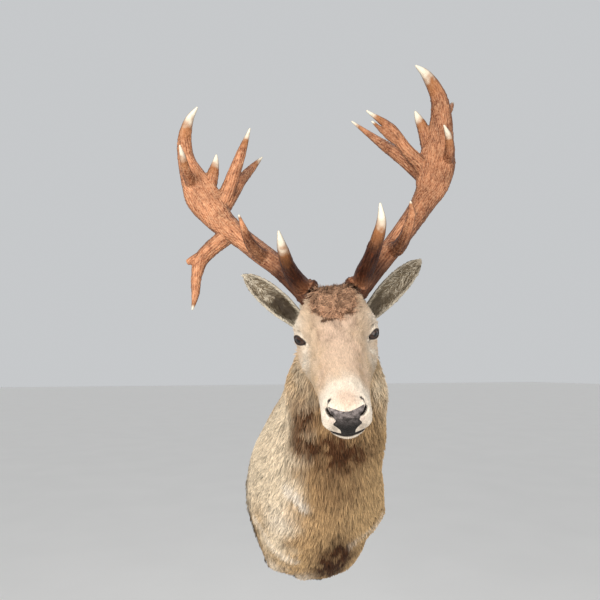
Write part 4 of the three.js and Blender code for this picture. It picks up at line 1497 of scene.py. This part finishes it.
def newGroup(name, inputs, outputs):
    kinds = {"float": "NodeSocketFloat", "colour": "NodeSocketColor", "vector": "NodeSocketVector"}
    group = bpy.data.node_groups.new(name, "ShaderNodeTree")
    for label, value in inputs.items():
        kind = kinds["float" if isinstance(value, float) else "vector"]
        group.interface.new_socket(label, in_out="INPUT", socket_type=kind).default_value = value
    for label, kind in outputs.items():
        group.interface.new_socket(label, in_out="OUTPUT", socket_type=kinds[kind])
    return group, group.nodes.new("NodeGroupInput"), group.nodes.new("NodeGroupOutput")


def wire(node, inputs):
    # inputs either linked from other sockets or fixed
    for key, value in inputs.items():
        if isinstance(value, bpy.types.NodeSocket):
            node.id_data.links.new(value, node.inputs[key])
        else:
            node.inputs[key].default_value = value


def put(tree, kind, inputs, **settings):
    node = tree.nodes.new("ShaderNode" + kind)
    for key, value in settings.items():
        setattr(node, key, value)
    wire(node, inputs)
    return node


def treeOf(*values):
    return next(value.id_data for value in values if isinstance(value, bpy.types.NodeSocket))


def maths(operation, a, b=0.0):
    return put(treeOf(a, b), "Math", {0: a, 1: b}, operation=operation).outputs[0]


def times(a, b):
    return maths("MULTIPLY", a, b)


def plus(a, b):
    return maths("ADD", a, b)


def mixed(share, a, b, blend="MIX"):
    a, b = (tint(*colour) if isinstance(colour, tuple) else colour for colour in (a, b))
    settings = {"data_type": "RGBA", "blend_type": blend, "clamp_factor": True}
    return put(treeOf(share, a, b), "Mix", {0: share, 6: a, 7: b}, **settings).outputs[2]


def layered(colour, *layers):
    # colours laid one over another, each with its share
    for share, over, *blend in layers:
        colour = mixed(share, colour, over, *blend)
    return colour


def ranged(value, fromLow, fromHigh, toLow=0.0, toHigh=1.0):
    inputs = {0: value, 1: fromLow, 2: fromHigh, 3: toLow, 4: toHigh}
    return put(value.id_data, "MapRange", inputs, clamp=True).outputs[0]


def attributes(tree, *names):
    return [put(tree, "Attribute", {}, attribute_name=name).outputs["Fac"] for name in names]


def combined(x, y, z=0.0):
    return put(x.id_data, "CombineXYZ", {0: x, 1: y, 2: z}).outputs[0]


def stretched(place, scale):
    return put(place.id_data, "Mapping", {"Vector": place, "Scale": scale}).outputs[0]


def noise(vector, scale, detail=3.0, roughness=0.5):
    inputs = {"Vector": vector, "Scale": scale, "Detail": detail, "Roughness": roughness}
    return put(vector.id_data, "TexNoise", inputs).outputs[0]


def bumped(height, strength, distance):
    inputs = {"Strength": strength, "Distance": distance, "Height": height}
    return put(height.id_data, "Bump", inputs).outputs["Normal"]


def newMaterial(name):
    material = bpy.data.materials.new(name)
    material.use_nodes = True
    tree = material.node_tree
    place = tree.nodes.new("ShaderNodeTexCoord").outputs["Object"]
    return material, tree, tree.nodes["Principled BSDF"], place


coatColours = {
    "fawn": (214, 187, 158),
    "body": (188, 152, 108),
    "gold": (206, 171, 124),
    "pale": (255, 236, 206),
    "brisket": (44, 20, 7),
    "cream": (238, 223, 203),
    "pink": (220, 188, 163),
    "topknot": (214, 166, 132),
    # also the painted shade along the brow creases
    "mane": (84, 52, 28),
    "grey": (132, 116, 92),
    # partly painted shade deep in the ear's cup
    "hollow": (56, 44, 32),
    "rim": (224, 212, 190),
    "lip": (220, 194, 180),
    # also painted shade in the mouth, the nostrils and the fold over the lids
    "bare": (22, 16, 12),
}
# the markings in the order that they are laid over the fawn
coatOrder = [key for key in coatColours if key != "fawn"]


def makeDeerCoat():
    # colour of the hair from its markings, its own strand and how near its tip it is
    inputs = {key: 0.0 for key in coatOrder} | {"strand": 0.5, "tip": 0.5}
    group, start, end = newGroup("deerCoat", inputs, {"colour": "colour", "roughness": "float"})
    mark = start.outputs
    colour = coatColours["fawn"]
    for key in coatOrder:
        share = times(mark[key], 0.75) if key in ("pink", "gold", "pale") else mark[key]
        colour = mixed(share, colour, coatColours[key])
    # short hair on the face hardly varies; the mane and the curls do, and are darker at the roots: painted
    # shade for the coat's own shadow
    shaggy = plus(maths("MAXIMUM", mark["body"], times(mark["topknot"], 1.6)), mark["mane"])
    streaky = ranged(plus(shaggy, times(mark["pale"], -0.4)), 0, 1, 0.6, 1.6)
    # painted shade: darker towards the roots
    roots = times(plus(mark["tip"], -0.8), ranged(shaggy, 0, 1, 0.2, 0.4))
    bright = times(plus(times(plus(mark["strand"], -0.5), streaky), 1.0), plus(roots, 1.04))
    colour = mixed(1.0, colour, combined(bright, bright, bright), "MULTIPLY")
    wire(end, {"colour": colour, "roughness": ranged(mark["bare"], 0, 1, 0.62, 0.42)})
    return group


deerCoat = makeDeerCoat()


def wearCoat(tree, shader, strand, tip):
    inputs = dict(zip(coatOrder, attributes(tree, *coatOrder))) | {"strand": strand, "tip": tip}
    node = put(tree, "Group", inputs, node_tree=deerCoat)
    wire(shader, {"Base Color": node.outputs["colour"], "Roughness": node.outputs["roughness"]})


def makeCoatMaterial():
    material, tree, shader, place = newMaterial("stagHair")
    wearCoat(tree, shader, *attributes(tree, "strand", "tip"))
    wire(shader, {"Specular IOR Level": 0.18})
    return material


def makeSkinMaterial():
    material, tree, shader, place = newMaterial("underCoat")
    streak = noise(stretched(place, (1, 0.6, 0.25)), 420, 4, 0.6)
    # the skin under the coat is coloured as the hair's roots, with their painted shade
    wearCoat(tree, shader, ranged(streak, 0.3, 0.7), 0.32)
    wire(shader, {"Normal": bumped(streak, 0.3, 0.0005), "Specular IOR Level": 0.25})
    return material


eyeColours = {"iris": (38, 21, 13), "fibre": (70, 42, 25), "edge": (16, 10, 8), "pupil": (5, 4, 4)}


def makeEyeMaterial():
    material, tree, shader, place = newMaterial("eyeGlass")
    across, rise, front = attributes(tree, "across", "rise", "front")
    # the pupil is a lying oval with square shoulders
    far, tall = (
        maths("POWER", maths("ABSOLUTE", maths("DIVIDE", value, half)), 3)
        for value, half in zip((across, rise), eyeLook["pupil"])
    )
    pupil = ranged(plus(far, tall), 1.5, 0.7)
    radius = put(tree, "VectorMath", {0: combined(across, rise)}, operation="LENGTH").outputs["Value"]
    edge = ranged(radius, eyeLook["iris"] - 3, eyeLook["iris"] + 1)
    fibre = noise(combined(across, rise, front), 0.6, 4, 0.6)
    iris = mixed(ranged(fibre, 0.3, 0.7), eyeColours["iris"], eyeColours["fibre"])
    wire(shader, {
        "Base Color": layered(iris, (edge, eyeColours["edge"]), (pupil, eyeColours["pupil"])),
        "Roughness": ranged(fibre, 0, 1, 0.1, 0.2),
        "Specular IOR Level": 0.3,
        "Coat Weight": 0.45,
        "Coat Roughness": 0.03,
    })
    return material


def makeSpeckle():
    # small cells for wet or horny skin and bone: a height with round tops and a fine speckle
    outputs = {"height": "float", "fleck": "float"}
    group, start, end = newGroup("speckle", {"vector": (0, 0, 0), "cells": 600.0}, outputs)
    vector, scale = start.outputs["vector"], start.outputs["cells"]
    cells = put(group, "TexVoronoi", {"Vector": vector, "Scale": scale})
    fine = put(group, "TexNoise", {"Vector": vector, "Scale": times(scale, 0.8)})
    height, fleck = ranged(cells.outputs["Distance"], 0, 0.7, 1, 0), ranged(fine.outputs[0], 0.35, 0.65)
    wire(end, {"height": height, "fleck": fleck})
    return group


speckle = makeSpeckle()


def speckled(vector, cells):
    node = put(vector.id_data, "Group", {"vector": vector, "cells": cells}, node_tree=speckle)
    return node.outputs["height"], node.outputs["fleck"]


# the pad's own near-black, with painted light and painted glints for its wet top
noseColours = {"pad": (19, 13, 8), "lit": (148, 136, 132), "paintedGlints": (214, 204, 200)}
lidColours = {"dark": (30, 22, 19), "fleck": (58, 44, 38)}


def makeNoseMaterial():
    material, tree, shader, place = newMaterial("noseLeather")
    height, fleck = speckled(place, 620)
    # painted light: the top of the pad is painted pale grey, fading down to the black, with whitish painted
    # glints on the tops of its cells
    lit = maths("POWER", ranged(*attributes(tree, "padHeight"), -36, 2), 1.7)
    pale = times(lit, ranged(noise(place, 150), 0.35, 0.65, 0.15, 1))
    paintedGlints = times(times(ranged(height, 0.45, 0.9), pale), 0.8)
    colour = mixed(pale, noseColours["pad"], noseColours["lit"])
    wire(shader, {
        "Base Color": mixed(paintedGlints, colour, noseColours["paintedGlints"]),
        "Roughness": ranged(fleck, 0, 1, 0.28, 0.5),
        "Normal": bumped(height, 0.8, 0.0008),
        "Specular IOR Level": 0.18,
        "Coat Weight": 0.03,
        "Coat Roughness": 0.2,
    })
    return material


def makeLidMaterial():
    material, tree, shader, place = newMaterial("lidLeather")
    height, fleck = speckled(place, 900)
    wire(shader, {
        "Base Color": mixed(fleck, lidColours["dark"], lidColours["fleck"]),
        "Roughness": ranged(fleck, 0, 1, 0.3, 0.45),
        "Normal": bumped(height, 0.5, 0.0004),
    })
    return material


antlerColours = {
    "brown": (144, 82, 50),
    "honey": (222, 152, 108),
    # also used for the painted shade over one whole antler
    "stain": (44, 19, 10),
    "grooves": (142, 100, 86),
    "streaks": (132, 92, 80),
    "ridges": (240, 190, 148),
    "stainedRidges": (116, 58, 31),
    "grain": (236, 184, 142),
    "pearls": (232, 180, 136),
    "ochre": (160, 104, 58),
    "ivory": (240, 230, 208),
    # painted shade for the edges that turn away from the view
    "turned": (62, 28, 16),
}


def makeAntlerMaterial():
    material, tree, shader, place = newMaterial("antlerBone")
    lie = combined(*attributes(tree, "lieX", "lieY", "lieZ"))
    height, fleck = speckled(place, 260)
    streak, patches = noise(lie, 0.28, 5, 0.65), noise(place, 22)
    groove, pearl, ivory, ochre, dark = attributes(tree, "groove", "pearl", "ivory", "ochre", "dark")
    clear = maths("SUBTRACT", 1.0, dark)
    shade = antlerColours
    # painted shade: the colour darkens where the bone turns away from the view, as bone that takes the light
    # full on falls dark at its edges
    away = put(tree, "LayerWeight", {"Blend": 0.5}).outputs["Facing"]
    colour = layered(
        mixed(ranged(patches, 0.35, 0.65), shade["brown"], shade["honey"]),
        # the stain colour carries both the real dark stain up the branches and the painted shade of the
        # darker antler
        (times(dark, 0.94), shade["stain"]),
        (ranged(groove, 0.62, 0.2, 0, 0.85), shade["grooves"], "MULTIPLY"),
        (ranged(streak, 0.54, 0.7, 0, 0.85), shade["streaks"], "MULTIPLY"),
        (ranged(streak, 0.47, 0.3, 0, 0.6), mixed(dark, shade["ridges"], shade["stainedRidges"])),
        (times(fleck, times(clear, 0.3)), shade["grain"]),
        (times(pearl, times(clear, 0.5)), shade["pearls"]),
        (times(ochre, 0.7), shade["ochre"]),
        (ivory, shade["ivory"]),
        # painted shade at the edges
        (ranged(away, 0.3, 0.9, 0, 0.75), shade["turned"]),
    )
    relief = times(plus(times(height, 0.5), streak), ranged(ivory, 0, 1, 1, 0.15))
    wire(shader, {
        "Base Color": colour,
        "Roughness": ranged(plus(streak, ivory), 0.2, 1.2, 0.5, 0.32),
        "Normal": bumped(relief, 0.7, 0.0016),
        "Specular IOR Level": 0.16,
    })
    return material


boardColours = {
    "early": (168, 128, 86),
    "late": (204, 168, 122),
    "plies": (128, 88, 54),
    "stain": (150, 110, 74),
    "pores": (112, 78, 50),
    "fleck": (220, 190, 148),
}


def makeBoardMaterial():
    material, tree, shader, place = newMaterial("plainPlywood")
    wood = stretched(place, (9, 9, 0.8))
    waves = {"Vector": wood, "Scale": 2.2, "Distortion": 7, "Detail": 3}
    rings = put(tree, "TexWave", waves, bands_direction="X").outputs["Fac"]
    layers = {"Vector": place, "Scale": 63, "Distortion": 0.4}
    plies = put(tree, "TexWave", layers, bands_direction="Y").outputs["Fac"]
    pores = noise(stretched(place, (1, 1, 0.04)), 900, 2)
    fleck = speckled(place, 150)[1]
    colour = layered(
        mixed(rings, boardColours["early"], boardColours["late"]),
        (ranged(plies, 0.4, 0.6, 0, 0.35), boardColours["plies"]),
        (ranged(noise(wood, 3, 4, 0.6), 0.35, 0.7, 0, 0.5), boardColours["stain"]),
        (ranged(pores, 0.55, 0.7, 0, 0.5), boardColours["pores"]),
        (times(fleck, 0.12), boardColours["fleck"]),
    )
    wire(shader, {
        "Base Color": colour,
        "Roughness": ranged(pores, 0.3, 0.7, 0.45, 0.65),
        "Normal": bumped(pores, 0.3, 0.0004),
    })
    return material


coatMaterial = makeCoatMaterial()
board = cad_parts["backboard"]
board.data.materials.clear()
for pieces, material in (
    ([skin], makeSkinMaterial()),
    (eyes, makeEyeMaterial()),
    (lids, makeLidMaterial()),
    ([nose], makeNoseMaterial()),
    (antlerPieces, makeAntlerMaterial()),
    ([board], makeBoardMaterial()),
):
    for piece in pieces:
        piece.data.materials.append(material)
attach(skin, "root")
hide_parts("head", "lower_jaw", "neck", "shoulders", "ear_left", "ear_right")
print("materials made")

coatPieces = makeCoat()
print("coat made,", sum(len(piece.data.polygons) for piece in coatPieces), "triangles in all")


stage = {
    "lens": 30,
    "camera": (-562, -1387, 291),
    "azimuth": -20,
    "up": 8,
    "floor": -1500,
    "floorReach": 60000,
    "key": 62,
    "fill": 21,
    "top": 10,
    "sky": 0.66,
}

camera = inScene("camera", bpy.data.cameras.new("camera"))
camera.data.lens = stage["lens"]
camera.data.sensor_width = 36
camera.data.clip_end = 100
camera.location = Vector(stage["camera"]) * mm
camera.rotation_euler = (math.radians(90 + stage["up"]), 0, math.radians(stage["azimuth"]))
bpy.context.scene.camera = camera


def makeLight(name, place, size, power, colour=(1, 1, 1)):
    light = bpy.data.lights.new(name, "AREA")
    light.size, light.energy, light.color = size, power, colour
    lamp = inScene(name, light)
    lamp.location = place
    aim = Vector((-0.05, -0.25, 0.35)) - lamp.location
    lamp.rotation_euler = aim.to_track_quat("-Z", "Y").to_euler()


makeLight("keyLight", (-2.1, -2.1, 0.75), 1.1, stage["key"], (1, 0.98, 0.95))
makeLight("fillLight", (1.0, -2.5, 0.2), 1.6, stage["fill"], (1, 0.99, 0.98))
makeLight("topLight", (0.3, -0.2, 2.4), 1.2, stage["top"])

far, level = stage["floorReach"], stage["floor"]
floorCorners = [(x * far, y * far, level) for x, y in ((-1, -1), (1, -1), (1, 1), (-1, 1))]
floor = meshObject("floor", floorCorners, [[0, 1, 2, 3]], smooth=False)
floorMaterial, _, floorShader, floorPlace = newMaterial("paleFloor")
cloudy = noise(floorPlace, 1.5)
wire(floorShader, {
    "Base Color": mixed(cloudy, (240, 238, 235), (247, 245, 242)),
    "Roughness": ranged(cloudy, 0, 1, 0.6, 0.8),
})
floor.data.materials.append(floorMaterial)

world = bpy.data.worlds.new("world")
bpy.context.scene.world = world
world.use_nodes = True
wire(world.node_tree.nodes["Background"], {"Color": (0.86, 0.88, 0.9, 1), "Strength": stage["sky"]})
bpy.context.scene.view_settings.view_transform = "Standard"
print("stage set")
